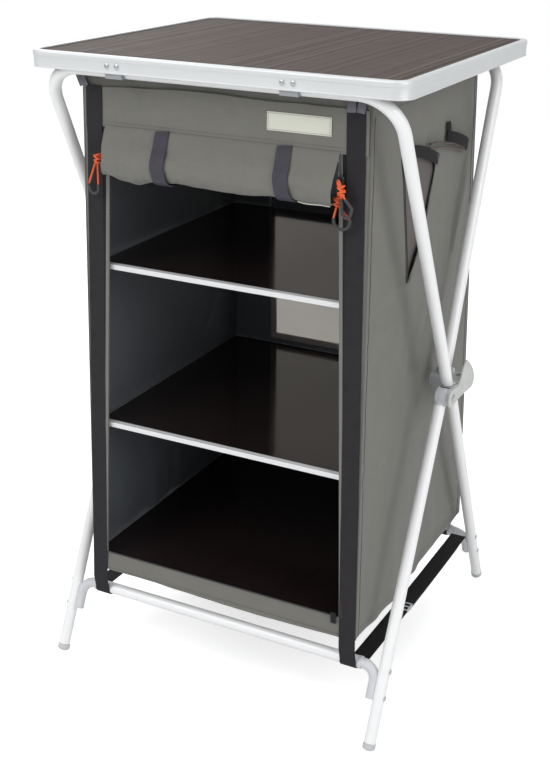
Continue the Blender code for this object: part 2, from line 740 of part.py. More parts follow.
def elbow(name, frame, side, parent):
    """The moulding that turns from the bottom bar down the leg's inner side and cups the tube."""
    end, track = frame["end"], frame["track"]
    arm_u = track - TUBE_RADIUS - ELBOW_RADIUS + ELBOW_BITE
    corners = [place(end, side, bar_end(frame), BAR), place(end, side, arm_u, BAR),
               place(end, side, arm_u, BAR + LEG_DIRECTION * ELBOW_ARM)]
    body = rod(name, rounded_route(corners, ELBOW_BEND, 5), ELBOW_RADIUS)
    spigot = cylinder(name + "_spigot", place(end, side, bar_end(frame) - SPIGOT_LENGTH, BAR),
                      place(end, side, bar_end(frame) + ELBOW_RADIUS, BAR), SPIGOT_RADIUS, sides=TUBE_SIDES)
    join(body, spigot)
    room = cylinder(name + "_leg_room", place(end, side, track, KNEE), place(end, side, track, FOOT),
                    TUBE_RADIUS + GAP, cutter=True)
    cut(body, room)
    finish(body, "grey_plastic", parent)


def latch(name, side, parent):
    """A leaf-shaped strut on the front knee's pin, whose jaw takes the back knee's boss from below."""
    knee, boss = (-KNEE.x, KNEE.y), (KNEE.x, KNEE.y)
    reach, tail, nose, rise, drop = KNEE.x, LEAF_TAIL, LEAF_NOSE, LEAF_RISE, LEAF_DROP
    leaf = [(-reach - tail, -0.42 * drop), (-reach - 0.47 * tail, 0.18 * rise), (-0.45 * reach, 0.66 * rise),
            (0.32 * reach, rise), (0.68 * reach, 0.92 * rise), (reach + 0.2 * nose, 0.62 * rise),
            (reach + nose, 0.22 * rise), (reach + 0.76 * nose, -0.55 * drop), (0.82 * reach, -0.97 * drop),
            (0.0, -0.94 * drop), (-reach - 0.12 * tail, -drop)]
    leaf = [(y, KNEE.y + z) for y, z in leaf]
    body = side_plate(name, [leaf], *span(side, LATCH_FACE, LATCH_FACE + LATCH_THICKNESS), bezier=True)
    outer = BOSS_RADIUS + GAP + JAW_WALL
    inner = BOSS_RADIUS + 2 * GAP
    lip = boss[1] + JAW_RISE
    jaw_outline = ([Vector((boss[0] - outer, lip))] + arc(boss, outer, 180, 360, 10)
                   + [Vector((boss[0] + outer, lip)), Vector((boss[0] + inner, lip))]
                   + arc(boss, inner, 360, 180, 10) + [Vector((boss[0] - inner, lip))])
    jaw = side_plate(name + "_jaw", [jaw_outline], *span(side, SWING_MIDDLE, LATCH_FACE + GAP))
    join(body, jaw)
    face = LATCH_FACE + LATCH_THICKNESS
    for number, (along, up) in enumerate(((-0.45, 0.15), (0.18, 0.26), (0.82, 0.31))):
        y, z = along * reach, KNEE.y + up * rise
        ring = cylinder(f"{name}_ring_{number}", (side * (face - GAP), y, z),
                        (side * (face + LATCH_RING_HEIGHT), y, z), LATCH_RING_RADIUS, sides=TUBE_SIDES)
        join(body, ring)
    hole = cylinder(name + "_hole", (side * (LATCH_FACE - CUT_MARGIN), *knee),
                    (side * (face + CUT_MARGIN), *knee), PIN_RADIUS + GAP, cutter=True)
    cut(body, hole)
    finish(body, "latch_plastic", parent)


# Fabric body

def cloth_sheet(name, columns, rows, surface, thickness=CLOTH, skip=None):
    """A sheet laid over a grid of columns and rows by a surface function, with its thickness."""
    form = bmesh.new()
    grid = [[form.verts.new(surface(c, r)) for c in columns] for r in rows]
    for j in range(len(rows) - 1):
        for i in range(len(columns) - 1):
            if skip and skip(columns[i], columns[i + 1], rows[j], rows[j + 1]):
                continue
            form.faces.new((grid[j][i], grid[j][i + 1], grid[j + 1][i + 1], grid[j + 1][i]))
    loose = [v for v in form.verts if not v.link_faces]
    bmesh.ops.delete(form, geom=loose, context="VERTS")
    made = from_bmesh(name, form)
    solid = made.modifiers.new("cloth", "SOLIDIFY")
    solid.thickness = thickness
    solid.offset = 0.0
    return made


def steps_between(low, high, count):
    return [low + (high - low) * i / count for i in range(count + 1)]


def billow(across_share, z):
    """How far a wall pulls in between the shelves that hold it, and how its hem waves."""
    levels = sorted([FLOOR_HEIGHT, BODY_TOP, *SHELF_HEIGHTS.values()])
    pull = 0.0
    for low, high in zip(levels, levels[1:]):
        if low <= z <= high:
            pull = math.sin(math.pi * (z - low) / (high - low)) ** 2
    hem = max(0.0, 1.0 - (z - SIDE_HEM_BACK) / (SHELF_HEIGHTS["shelf_middle"] - SIDE_HEM_BACK)) ** 2
    middle = math.sin(math.pi * across_share)
    wave = math.sin(2 * math.pi * HEM_WAVES * across_share + 5 * z)
    return -BILLOW * pull * middle + HEM_WAVE * hem * wave * middle


def side_wall(name, side, slit=None):
    """A side wall between the corner seams; its hem climbs a little towards the front."""
    columns = steps_between(0.0, 1.0, 14)
    rows = steps_between(0.0, 1.0, 16)

    def surface(share, height):
        hem = SIDE_HEM_FRONT + (SIDE_HEM_BACK - SIDE_HEM_FRONT) * share
        z = hem + (BODY_TOP - hem) * height
        depth = half_depth(z) + CLOTH / 2
        return (side * (half_width(z) + billow(share, z)), -depth + 2 * depth * share, z)

    wall = cloth_sheet(name, columns, rows, surface)
    if slit:
        reach = half_width(SIDE_HEM_BACK) + CUT_MARGIN * 2
        inner = BODY_HALF_WIDTH_TOP - BILLOW - 2 * CUT_MARGIN
        outline = [(y, BODY_TOP - drop) for y, drop in slit]
        hole = side_plate(name + "_slit", [outline], *span(side, inner, reach), cutter=True)
        cut(wall, hole)
    finish(wall, "fabric")


def panel_limits(z):
    return half_width(z) - CLOTH / 2 - CORNER_GAP


def front_panel(name):
    """The front: a valance, two narrow strips beside the opening and a sill."""
    marks = [-2, -1, -0.5, 0, 0.5, 1, 2]
    heights = ([FRONT_HEM, OPENING_BOTTOM] + steps_between(OPENING_BOTTOM, OPENING_TOP, 10)[1:]
               + [(OPENING_TOP + BODY_TOP) / 2, BODY_TOP])

    def surface(mark, z):
        side = math.copysign(1, mark)
        x = opening_half(min(z, OPENING_TOP)) * mark if abs(mark) <= 1 else side * panel_limits(z)
        return (x, -half_depth(z), z)

    def opening(mark_low, mark_high, z_low, z_high):
        return abs(mark_low + mark_high) < 2 and OPENING_BOTTOM <= (z_low + z_high) / 2 <= OPENING_TOP

    finish(cloth_sheet(name, marks, heights, surface, skip=opening), "fabric")


def back_wall(name):
    """The back: a sheet with a window, drawn in a little between the shelves."""
    marks = [-2, -1.5, -1, -0.5, 0, 0.5, 1, 1.5, 2]
    heights = (steps_between(BACK_HEM, WINDOW_BOTTOM, 6) + steps_between(WINDOW_BOTTOM, WINDOW_TOP, 8)[1:]
               + [(WINDOW_TOP + BODY_TOP) / 2, BODY_TOP])

    def surface(mark, z):
        beyond = max(abs(mark) - 1, 0.0)
        side = math.copysign(1, mark)
        inner = WINDOW_HALF_WIDTH * max(-1.0, min(1.0, mark))
        x = inner + side * beyond * (panel_limits(z) - WINDOW_HALF_WIDTH)
        return (x, half_depth(z) + min(0.0, billow(0.5 + mark / 4, z)) / 2, z)

    def window(mark_low, mark_high, z_low, z_high):
        return abs(mark_low + mark_high) < 2 and WINDOW_BOTTOM <= (z_low + z_high) / 2 <= WINDOW_TOP

    finish(cloth_sheet(name, marks, heights, surface, skip=window), "lining")


def back_window(name):
    """The pale window cloth, sewn inside the back wall round its window."""
    columns = steps_between(-WINDOW_HALF_WIDTH - WINDOW_SEAM, WINDOW_HALF_WIDTH + WINDOW_SEAM, 8)
    rows = steps_between(WINDOW_BOTTOM - WINDOW_SEAM, WINDOW_TOP + WINDOW_SEAM, 12)
    inside = CLOTH + BILLOW / 2 + GAP

    def surface(x, z):
        return (x, half_depth(z) - inside, z)

    finish(cloth_sheet(name, columns, rows, surface), "window")


def roll_place():
    """How far out from the middle the rolled door's own middle hangs."""
    return half_depth(ROLL_MIDDLE) + ROLL_STAND + ROLL_DEPTH / 2


def door_roll(name):
    """The rolled-up front door: a soft roll with turns that show at its ends and a slack underside."""
    middle_v = roll_place()
    form = bmesh.new()
    sections = steps_between(-1.0, 1.0, 18)
    sides = 16
    rings = []
    for share in sections:
        squeeze = 1.0
        for tie in TIE_PLACES.values():
            apart = (share * ROLL_HALF_LENGTH - tie) / ROLL_PINCH
            squeeze -= 0.07 * math.exp(-apart * apart)
        ring = []
        for i in range(sides):
            turn = 2 * math.pi * i / sides
            layer = 1.0 + 0.025 * math.sin(3 * turn + 4 * share)
            v = middle_v + ROLL_DEPTH / 2 * squeeze * layer * math.cos(turn) * 0.96
            z = ROLL_MIDDLE + ROLL_HEIGHT / 2 * layer * math.sin(turn) * 0.97
            ring.append(form.verts.new((share * ROLL_HALF_LENGTH, -v, z)))
        rings.append(ring)
    for a, b in zip(rings, rings[1:]):
        for i in range(sides):
            form.faces.new((a[i], a[(i + 1) % sides], b[(i + 1) % sides], b[i]))
    form.faces.new(rings[0])
    form.faces.new(rings[-1])
    finish(from_bmesh(name, form), "fabric")


def ribbon(name, route, across_vectors, width, thickness=WEBBING):
    """A flat strap along a route; its width runs along the vector given at each point."""
    form = bmesh.new()
    rows = []
    for point, direction in zip(route, across_vectors):
        side = Vector(direction).normalized() * width / 2
        rows.append((form.verts.new(Vector(point) - side), form.verts.new(Vector(point) + side)))
    for a, b in zip(rows, rows[1:]):
        form.faces.new((a[0], a[1], b[1], b[0]))
    made = from_bmesh(name, form)
    solid = made.modifiers.new("webbing", "SOLIDIFY")
    solid.thickness = thickness
    solid.offset = 0.0
    return made


def corner_strap(name, end, side, bottom_place):
    """From its tab under the board, down the panel's edge, and round the bottom bar."""
    wrap = TUBE_RADIUS + 2 * GAP + WEBBING / 2
    outside = CLOTH / 2 + WEBBING / 2 + 2 * GAP
    top_z, low_z = BODY_TOP, SIDE_HEM_FRONT - 2 * WEBBING
    tab_v = half_depth(top_z) + outside
    tab_z = BOARD_BOTTOM - WEBBING / 2 - 2 * GAP
    turn = arc((tab_v - STRAP_BEND, tab_z - STRAP_BEND), STRAP_BEND, 90, 0, 4)
    upper = [Vector((tab_v - STRAP_TAB, tab_z))] + turn
    fall = [Vector((half_depth(z) + outside, z)) for z in steps_between(top_z, low_z, 5)]
    lower = arc(BAR, wrap, 20, -190, 9)
    route, directions = [], []
    for v, z in upper + fall + lower:
        share = min(max((top_z - z) / (top_z - BAR.y), 0.0), 1.0)
        x = STRAP_TOP_PLACE + (bottom_place - STRAP_TOP_PLACE) * share
        route.append((side * x, end * v, z))
        directions.append((1, 0, 0))
    finish(ribbon(name, route, directions, STRAP_WIDTH), "webbing")


def bottom_strap_place(side, y):
    """The bottom strap's middle line, which sags a little and runs inwards to the back."""
    share = (y + STRAP_REACH) / (2 * STRAP_REACH)
    front, back = FRAMES["front"]["strap"], FRAMES["back"]["strap"]
    sag = BOTTOM_STRAP_SAG * math.sin(math.pi * share)
    return (side * (front + (back - front) * share), y, BAR.y - sag)


def bottom_strap(name, side):
    """The strap that ties the bottom bars together, sewn to the corner straps' ends."""
    route = [bottom_strap_place(side, y) for y in steps_between(-STRAP_REACH, STRAP_REACH, 8)]
    finish(ribbon(name, route, [(1, 0, 0)] * len(route), BOTTOM_STRAP_WIDTH), "webbing")


def adjuster(name, side, parent):
    """The ladder buckle threaded on a bottom strap: a frame with a bar over the webbing."""
    x, y, z = bottom_strap_place(side, ADJUSTER_PLACE)
    half, length = BOTTOM_STRAP_WIDTH / 2, ADJUSTER_LENGTH / 2
    wide, tall = half + ADJUSTER_RIM, ADJUSTER_THICKNESS / 2
    body = block(name, (x - wide, y - length, z - tall), (x + wide, y + length, z + tall))
    wide, tall, deep = half + ADJUSTER_PLAY, WEBBING / 2 + ADJUSTER_PLAY, length + CUT_MARGIN
    room = block(name + "_slot", (x - wide, y - deep, z - tall), (x + wide, y + deep, z + tall), cutter=True)
    cut(body, room)
    wide = half - ADJUSTER_CHEEK
    for number, middle in enumerate((y - length / 2, y + length / 2)):
        gate = block(f"{name}_gate_{number}", (x - wide, middle - ADJUSTER_GATE / 2, z),
                     (x + wide, middle + ADJUSTER_GATE / 2, z + ADJUSTER_THICKNESS), cutter=True)
        cut(body, gate)
    finish(body, "grey_plastic", parent)


def side_strap(name, parent):
    """The webbing across the top of the right wall's slit."""
    first, last = SIDE_STRAP_ROUTE[0], SIDE_STRAP_ROUTE[-1]
    lean = (last[1] - first[1]) / (last[0] - first[0])
    x = half_width(BODY_TOP - last[1]) + CLOTH / 2 + WEBBING / 2 + SIDE_STRAP_STAND
    route = [(x, y, BODY_TOP - drop) for y, drop in SIDE_STRAP_ROUTE]
    finish(ribbon(name, route, [(0, lean, 1.0)] * len(route), SIDE_STRAP_WIDTH), "webbing", parent)


def door_tie(name, x):
    """A tie round the rolled door, sewn to the valance's seam at the front and behind."""
    top = OPENING_TOP + TIE_RISE
    inside = CLOTH / 2 + WEBBING / 2 + TIE_PLAY / 2
    route = [Vector((half_depth(top) + CLOTH / 2 + WEBBING / 2 + GAP, top))]
    for a in range(60, -241, -20):
        turn = math.radians(a)
        v = roll_place() + (ROLL_DEPTH / 2 + TIE_PLAY) * math.cos(turn)
        z = ROLL_MIDDLE + (ROLL_HEIGHT / 2 + TIE_PLAY) * math.sin(turn)
        if a < -180:
            v = half_depth(z) - inside
        route.append(Vector((v, z)))
    route.append(Vector((half_depth(top) - inside, top)))
    world = [(x, -v, z) for v, z in route]
    finish(ribbon(name, world, [(1, 0, 0)] * len(world), TIE_WIDTH), "webbing")


# Shelves, floor and zips

def shelf(name, z, parent):
    """A board between the walls, with an aluminium strip on its front edge."""
    half = half_width(z) - CLOTH / 2 - BILLOW - SHELF_SIDE_GAP
    front = half_depth(z) - CLOTH / 2 - SHELF_FRONT_GAP
    back = half_depth(z) - CLOTH / 2 - BILLOW - SHELF_BACK_GAP
    half_board, half_strip = SHELF_THICKNESS / 2, STRIP_HEIGHT / 2
    board = block(name + "_board", (-half, -front + STRIP_WALL + GAP, z - half_board),
                  (half, back, z + half_board))
    rebate = block(name + "_rebate", (-half - CUT_MARGIN, -front - CUT_MARGIN, z + half_board - REBATE),
                   (half + CUT_MARGIN, -front + STRIP_DEPTH + GAP, z + half_strip), cutter=True)
    cut(board, rebate)
    finish(board, "shelf", parent)
    strip = block(name + "_strip", (-half, -front, z - half_strip),
                  (half, -front + STRIP_DEPTH, z + half_strip))
    groove = block(name + "_groove", (-half - CUT_MARGIN, -front + STRIP_WALL, z - half_board - GAP),
                   (half + CUT_MARGIN, -front + STRIP_DEPTH + CUT_MARGIN, z + half_board + GAP), cutter=True)
    cut(strip, groove)
    finish(strip, "aluminium", parent)


def floor(parent):
    z = FLOOR_HEIGHT
    half = half_width(z) - CLOTH / 2 - HEM_WAVE - SHELF_SIDE_GAP
    front = half_depth(z) - CLOTH / 2 - FLOOR_FRONT_GAP
    back = half_depth(z) - CLOTH / 2 - BILLOW - SHELF_BACK_GAP
    thick = SHELF_THICKNESS / 2
    board = block("floor_board", (-half, -front, z - thick), (half, back, z + thick))
    finish(board, "shelf", parent)


def zip_place(side, z):
    """The place of a slider's middle: on the zip beside the opening, clear of the straps' faces."""
    x = opening_half(z) + ZIP_LINE + SLIDER_WIDTH / 2
    return Vector((side * x, -(half_depth(z) + CLOTH / 2 + ZIP_STAND + SLIDER_THICKNESS / 2), z))


def zip_eye(data):
    """The middle of the eye that a pull hangs in, in front of its slider."""
    middle = zip_place(data["side"], OPENING_TOP - data["drop"])
    return middle + Vector((0, -SLIDER_THICKNESS / 2 - EYE_STAND - data["lift"],
                            SLIDER_HEIGHT / 2 - EYE_STAND))


def zip_slider(name, data, parent):
    """A slider: its body, the foot that grips the zip and the bridge with the pull's eye."""
    z = OPENING_TOP - data["drop"]
    middle, eye = zip_place(data["side"], z), zip_eye(data)
    size = Vector((SLIDER_WIDTH, SLIDER_THICKNESS, SLIDER_HEIGHT)) / 2
    body = block(name, middle - size, middle + size, bevel=SLIDER_EDGE / 2)
    half, rim = BRIDGE_WIDTH / 2, PULL_CORD_RADIUS + EYE_PLAY + BRIDGE_WALL
    bridge = block(name + "_bridge", (eye.x - half, eye.y - rim, eye.z - rim),
                   (eye.x + half, middle.y, eye.z + rim))
    join(body, bridge)
    line = data["side"] * opening_half(z)
    foot_x = sorted((line + data["side"] * BRIDGE_WALL, line + data["side"] * (BRIDGE_WALL + SLIDER_FOOT)))
    grip = block(name + "_foot", (foot_x[0], middle.y, z - size.z + SLIDER_EDGE),
                 (foot_x[1], middle.y + size.y + ZIP_STAND - 2 * GAP, z + size.z - SLIDER_EDGE))
    join(body, grip)
    hole = cylinder(name + "_eye", eye - Vector((CUT_MARGIN, 0, 0)), eye + Vector((CUT_MARGIN, 0, 0)),
                    PULL_CORD_RADIUS + EYE_PLAY, cutter=True, sides=TUBE_SIDES)
    cut(body, hole)
    finish(body, "zip_metal", parent)


def zip_pull(name, data, parent):
    """A loop of cord through its slider's eye."""
    eye = zip_eye(data)
    half = PULL_WIDTH / 2
    outline = arc((0.0, -half), half, 0, 180, 8) + arc((0.0, half - PULL_LENGTH), half, 180, 360, 8)
    loop = bpy.data.curves.new(name, "CURVE")
    loop.dimensions = "3D"
    loop.bevel_depth = PULL_CORD_RADIUS
    loop.bevel_resolution = 1
    spline = loop.splines.new("POLY")
    spline.points.add(len(outline) - 1)
    for point, (across_loop, up) in zip(spline.points, outline):
        point.co = (eye.x + across_loop, eye.y, eye.z + up, 1.0)
    spline.use_cyclic_u = True
    finish(curve_to_solid(make_object(name, loop)), "pull_cord", parent)


# Assembly

table_top()
for number, x_place in enumerate(SADDLE_PLACES):
    for frame_name, data in FRAMES.items():
        saddle(f"saddle_{frame_name}_{'left' if x_place < 0 else 'right'}", data["end"], x_place)

for frame_name, data in FRAMES.items():
    end_sign = data["end"]
    upper_pivot = pivot(frame_name + "_upper_pivot", (0, end_sign * CROSSBAR.x, CROSSBAR.y))
    lower_pivot = pivot(frame_name + "_lower_pivot", (0, end_sign * KNEE.x, KNEE.y), upper_pivot)
    upper_frame(frame_name + "_upper_frame", data, upper_pivot)
    bottom_bar(frame_name + "_bottom_bar", data, lower_pivot)
    for side_name, sign in SIDES.items():
        fork(f"{frame_name}_fork_{side_name}", data, sign, upper_pivot)
        barrel(f"{frame_name}_barrel_{side_name}", data, sign, lower_pivot)
        leg(f"{frame_name}_leg_{side_name}", data, sign, lower_pivot)
        foot(f"{frame_name}_foot_{side_name}", data, sign, lower_pivot)
        elbow(f"{frame_name}_elbow_{side_name}", data, sign, lower_pivot)
        if frame_name == "front":
            latch_pivot = pivot(f"latch_{side_name}_pivot", place(-1, sign, LATCH_FACE, KNEE), lower_pivot)
            latch(f"latch_{side_name}", sign, latch_pivot)

side_wall("side_wall_left", -1)
side_wall("side_wall_right", 1, SLIT)
front_panel("front_panel")
back_wall("back_wall")
back_window("back_window")
door_roll("door_roll")
for tie_name, tie_x in TIE_PLACES.items():
    door_tie(tie_name, tie_x)
upper_cloth = pivot("upper_cloth_lift", (0, 0, BODY_TOP))
side_strap("side_strap_right", upper_cloth)

for side_name, sign in SIDES.items():
    for frame_name, data in FRAMES.items():
        corner_strap(f"strap_{frame_name}_{side_name}", data["end"], sign, data["strap"])
    bottom_strap(f"bottom_strap_{side_name}", sign)
    lift = pivot(f"adjuster_{side_name}_lift", (0, ADJUSTER_PLACE, BAR.y))
    adjuster(f"strap_adjuster_{side_name}", sign, lift)

for shelf_name, height in SHELF_HEIGHTS.items():
    shelf(shelf_name, height, pivot(shelf_name + "_lift", (0, 0, height)))
floor(pivot("floor_lift", (0, 0, FLOOR_HEIGHT)))

for zip_name, zip_data in SLIDERS.items():
    place_on_zip = zip_place(zip_data["side"], OPENING_TOP - zip_data["drop"])
    slider_pivot = pivot(f"zip_{zip_name}_run", place_on_zip, upper_cloth)
    zip_slider(f"zip_slider_{zip_name}", zip_data, slider_pivot)
    pull_pivot = pivot(f"zip_{zip_name}_eye", zip_eye(zip_data), slider_pivot)
    zip_pull(f"zip_pull_{zip_name}", zip_data, pull_pivot)
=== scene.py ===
# %% [markdown]
# # A folding camping cupboard
# A railed table top stands on two folding tube frames, and a fabric cupboard with shelves hangs
# between them on webbing straps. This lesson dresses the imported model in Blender, piece by piece.
# Right is +X, the open front is -Y, up is +Z, and lengths are in metres.

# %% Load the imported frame
import json
import math
from functools import partial

import bmesh
import bpy
from mathutils import Matrix, Vector, noise


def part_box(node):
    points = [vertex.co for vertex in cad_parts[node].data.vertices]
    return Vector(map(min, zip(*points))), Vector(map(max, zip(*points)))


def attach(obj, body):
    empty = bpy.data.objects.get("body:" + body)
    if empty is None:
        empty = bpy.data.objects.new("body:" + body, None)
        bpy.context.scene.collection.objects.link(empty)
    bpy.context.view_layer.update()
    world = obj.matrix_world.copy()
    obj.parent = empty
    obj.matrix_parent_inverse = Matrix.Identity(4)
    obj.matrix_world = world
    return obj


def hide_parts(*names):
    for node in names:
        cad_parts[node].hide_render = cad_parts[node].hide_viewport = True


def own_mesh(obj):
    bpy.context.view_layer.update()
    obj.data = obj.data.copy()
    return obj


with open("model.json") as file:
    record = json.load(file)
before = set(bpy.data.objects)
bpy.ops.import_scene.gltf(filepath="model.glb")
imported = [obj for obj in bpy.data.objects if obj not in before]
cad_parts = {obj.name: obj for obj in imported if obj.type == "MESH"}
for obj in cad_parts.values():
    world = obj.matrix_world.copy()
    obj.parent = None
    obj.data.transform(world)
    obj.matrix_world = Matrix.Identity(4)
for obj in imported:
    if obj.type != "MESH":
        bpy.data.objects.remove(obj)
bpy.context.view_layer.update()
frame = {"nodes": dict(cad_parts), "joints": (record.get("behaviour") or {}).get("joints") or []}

# %% [markdown]
# ## Places
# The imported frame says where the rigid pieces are, so the places that carry the rest are measured
# from it. The two U frames swing about their crossbars and the legs fold at the knees, and those
# axes are the joints' own.

# %% Places measured from the frame
JOINT_AT = {joint["name"]: Vector(joint["pos_m"]) for joint in frame["joints"] if "pos_m" in joint}
HALF_WIDTH, HALF_DEPTH, TABLE_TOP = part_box("table_rail")[1]
RAIL_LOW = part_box("table_rail")[0].z
BOARD_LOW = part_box("table_board")[0].z
TUBE = 0.0095
GAP = 0.0003
TRACK = {"front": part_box("front_leg_right")[1].x - TUBE, "back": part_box("back_leg_right")[1].x - TUBE}
CROSSBAR = Vector((-JOINT_AT["front_fold"].y, JOINT_AT["front_fold"].z))
KNEE = Vector((-JOINT_AT["front_knee"].y, JOINT_AT["front_knee"].z))
FOOT = Vector((0.289, 0.0))
LEG_WAY = (FOOT - KNEE).normalized()
LEG_LENGTH = (FOOT - KNEE).length
KNEE_ARM = 0.0256
KNEE_SPAN = (KNEE - CROSSBAR).length
UPPER_WAY = Matrix.Rotation(-math.asin(KNEE_ARM / KNEE_SPAN), 2) @ (KNEE - CROSSBAR).normalized()
UPPER_END = CROSSBAR + UPPER_WAY * math.sqrt(KNEE_SPAN ** 2 - KNEE_ARM ** 2)
BAR = Vector((FOOT.x + LEG_WAY.x / LEG_WAY.y * 0.117, 0.117))
ENDS = {"front": -1, "back": 1}
SIDES = {"left": -1, "right": 1}
CORNERS = [(*end, *side) for end in ENDS.items() for side in SIDES.items()]
print("knee", tuple(round(c, 4) for c in KNEE), "bar", tuple(round(c, 4) for c in BAR))


def place(end, side, u, point):
    """World place of a frame's own coordinates: u to its side, then v towards its end, and z."""
    return Vector((side * u, end * point[0], point[1]))


# %% The fabric body's own shape
BODY_TOP = 0.995
BODY_LOW = 0.145
FRONT_HEM = 0.160
BACK_HEM = 0.165
OPENING_TOP = 0.920
OPENING_LOW = 0.196
CLOTH_TOP = BOARD_LOW - 0.0008
CLOTH = 0.0012
CLOTH_STAND = 0.0006
SHELF_Z = {"shelf_top": 0.697, "shelf_middle": 0.430, "floor": 0.190}


def half_width(z):
    return 0.232 + 0.013 * (BODY_TOP - z) / (BODY_TOP - BODY_LOW)


def half_depth(z):
    return 0.220 + 0.0255 * (BODY_TOP - z) / (BODY_TOP - BODY_LOW)


def opening_half(z):
    return 0.1836 + 0.0292 * (OPENING_TOP - z) / (OPENING_TOP - OPENING_LOW)


# %% [markdown]
# ## Camera and light
# The photograph was taken from the front right, a little above the table top. Soft lamps and a pale
# room keep every colour about as it is written, and the metal sees the same pale room.

# %% Camera
YAW, PITCH, ROLL = -0.4552, -0.3886, 0.0147
STAND_POINT = (0.8787, -1.7341, 1.2647)
PHOTO_WIDE, PHOTO_HIGH = 550, 774
SENSOR, FOCAL_PIXELS, CENTRE = 36.0, 1230.4557, (304.26, 377.7)
ahead = Vector((math.sin(YAW) * math.cos(PITCH), math.cos(YAW) * math.cos(PITCH), math.sin(PITCH)))
camera_data = bpy.data.cameras.new("photo_view")
camera_data.sensor_fit = "VERTICAL"
camera_data.sensor_height = SENSOR
camera_data.lens = FOCAL_PIXELS * SENSOR / PHOTO_HIGH
camera_data.shift_x = -(CENTRE[0] - PHOTO_WIDE / 2) / PHOTO_HIGH
camera_data.shift_y = (CENTRE[1] - PHOTO_HIGH / 2) / PHOTO_HIGH
camera = bpy.data.objects.new("photo_view", camera_data)
bpy.context.scene.collection.objects.link(camera)
camera.matrix_world = (Matrix.Translation(STAND_POINT)
                       @ ahead.to_track_quat("-Z", "Y").to_matrix().to_4x4()
                       @ Matrix.Rotation(ROLL, 4, "Z"))
bpy.context.scene.camera = camera
print("lens", round(camera_data.lens, 2), "mm")


# %% Lamps
def soft_lamp(name, stand, aim, size, watts):
    """A wide square lamp that looks at a place."""
    data = bpy.data.lights.new(name, "AREA")
    data.size = size
    data.energy = watts
    lamp = bpy.data.objects.new(name, data)
    bpy.context.scene.collection.objects.link(lamp)
    way = Vector(aim) - Vector(stand)
    lamp.matrix_world = Matrix.Translation(stand) @ way.to_track_quat("-Z", "Y").to_matrix().to_4x4()
    return lamp


soft_lamp("key_lamp", (-1.9, -3.2, 3.3), (0, 0, 0.55), 2.6, 84)
soft_lamp("side_lamp", (3.4, -1.2, 2.1), (0, 0, 0.5), 2.4, 50)
soft_lamp("top_lamp", (0.2, 0.2, 4.0), (0, 0, 0.6), 2.8, 34)
soft_lamp("back_lamp", (-3.0, 2.6, 2.4), (0, 0, 0.6), 2.4, 40)

# %% Pale room
world = bpy.data.worlds.new("pale_room")
bpy.context.scene.world = world
world.use_nodes = True
room = world.node_tree.nodes
room_links = world.node_tree.links
room["Background"].inputs["Color"].default_value = (0.97, 0.985, 1.0, 1.0)
room["Background"].inputs["Strength"].default_value = 0.44
seen = room.new("ShaderNodeBackground")
seen.inputs["Color"].default_value = (1.0, 1.0, 1.0, 1.0)
rays = room.new("ShaderNodeLightPath")
straight = room.new("ShaderNodeMath")
straight.operation = "MAXIMUM"
room_links.new(rays.outputs["Is Camera Ray"], straight.inputs[0])
room_links.new(rays.outputs["Is Transmission Ray"], straight.inputs[1])
pick = room.new("ShaderNodeMixShader")
room_links.new(straight.outputs[0], pick.inputs[0])
room_links.new(room["Background"].outputs[0], pick.inputs[1])
room_links.new(seen.outputs[0], pick.inputs[2])
room_links.new(pick.outputs[0], room["World Output"].inputs["Surface"])
bpy.context.scene.view_settings.view_transform = "Standard"

# %% [markdown]
# ## Finishes
# Every finish is made from nodes. The cloth, webbing and tape read their own flat UV map in metres,
# so the threads follow the cloth; metal, plastic and board read Object coordinates.


# %% Node helpers
def srgb(red, green, blue):
    """A colour in steps of 0 to 255 as the linear values that a shader takes."""
    return tuple(((c / 255 + 0.055) / 1.055) ** 2.4 for c in (red, green, blue))


def shade(colour, share):
    return (*(min(c * share, 1.0) for c in colour), 1.0)


def add_node(tree, kind, inputs=(), **settings):
    """Adds a node, with its settings, and fills its inputs with values or with other nodes' sockets."""
    node = tree.nodes.new(kind)
    for key, value in settings.items():
        setattr(node, key, value)
    for key, value in dict(inputs).items():
        if isinstance(value, bpy.types.NodeSocket):
            tree.links.new(value, node.inputs[key])
        else:
            node.inputs[key].default_value = value
    return node


def coords(tree, kind):
    return add_node(tree, "ShaderNodeTexCoord").outputs[kind]


def maths(tree, operation, *values, clamp=False):
    node = add_node(tree, "ShaderNodeMath", enumerate(values), operation=operation, use_clamp=clamp)
    return node.outputs[0]


def between(tree, share, low, high):
    """A value that runs from low to high as share runs from 0 to 1."""
    return maths(tree, "MULTIPLY_ADD", share, high - low, low)


def steeper(tree, value, gain, level):
    """A value of 0 to 1 made steeper round its middle, which moves to a level."""
    return maths(tree, "MULTIPLY_ADD", maths(tree, "SUBTRACT", value, 0.5), gain, level, clamp=True)


def speckle(tree, where, scale, detail=2.0, stretch=None):
    """Noise of 0 to 1 at a place, stretched by a scale for each axis where one is given."""
    if stretch:
        where = add_node(tree, "ShaderNodeMapping", {"Vector": where, "Scale": stretch}).outputs[0]
    node = add_node(tree, "ShaderNodeTexNoise", {"Vector": where, "Scale": scale, "Detail": detail})
    return node.outputs["Fac"]


def new_finish(name, colour, roughness, metallic=0.0, **sockets):
    made = bpy.data.materials.new(name)
    made.use_nodes = True
    shader = made.node_tree.nodes["Principled BSDF"]
    shader.inputs["Base Color"].default_value = (*colour, 1.0)
    shader.inputs["Roughness"].default_value = roughness
    shader.inputs["Metallic"].default_value = metallic
    for key, value in sockets.items():
        shader.inputs[key.replace("_", " ")].default_value = value
    made.diffuse_color = (*colour, 1.0)
    return made, made.node_tree, shader


def paint(tree, shader, share, dark, light):
    """The shader's colour runs from dark to light with a share."""
    mix = add_node(tree, "ShaderNodeMix", {0: share, 6: dark, 7: light}, data_type="RGBA")
    tree.links.new(mix.outputs[2], shader.inputs["Base Color"])
    return mix.outputs[2]


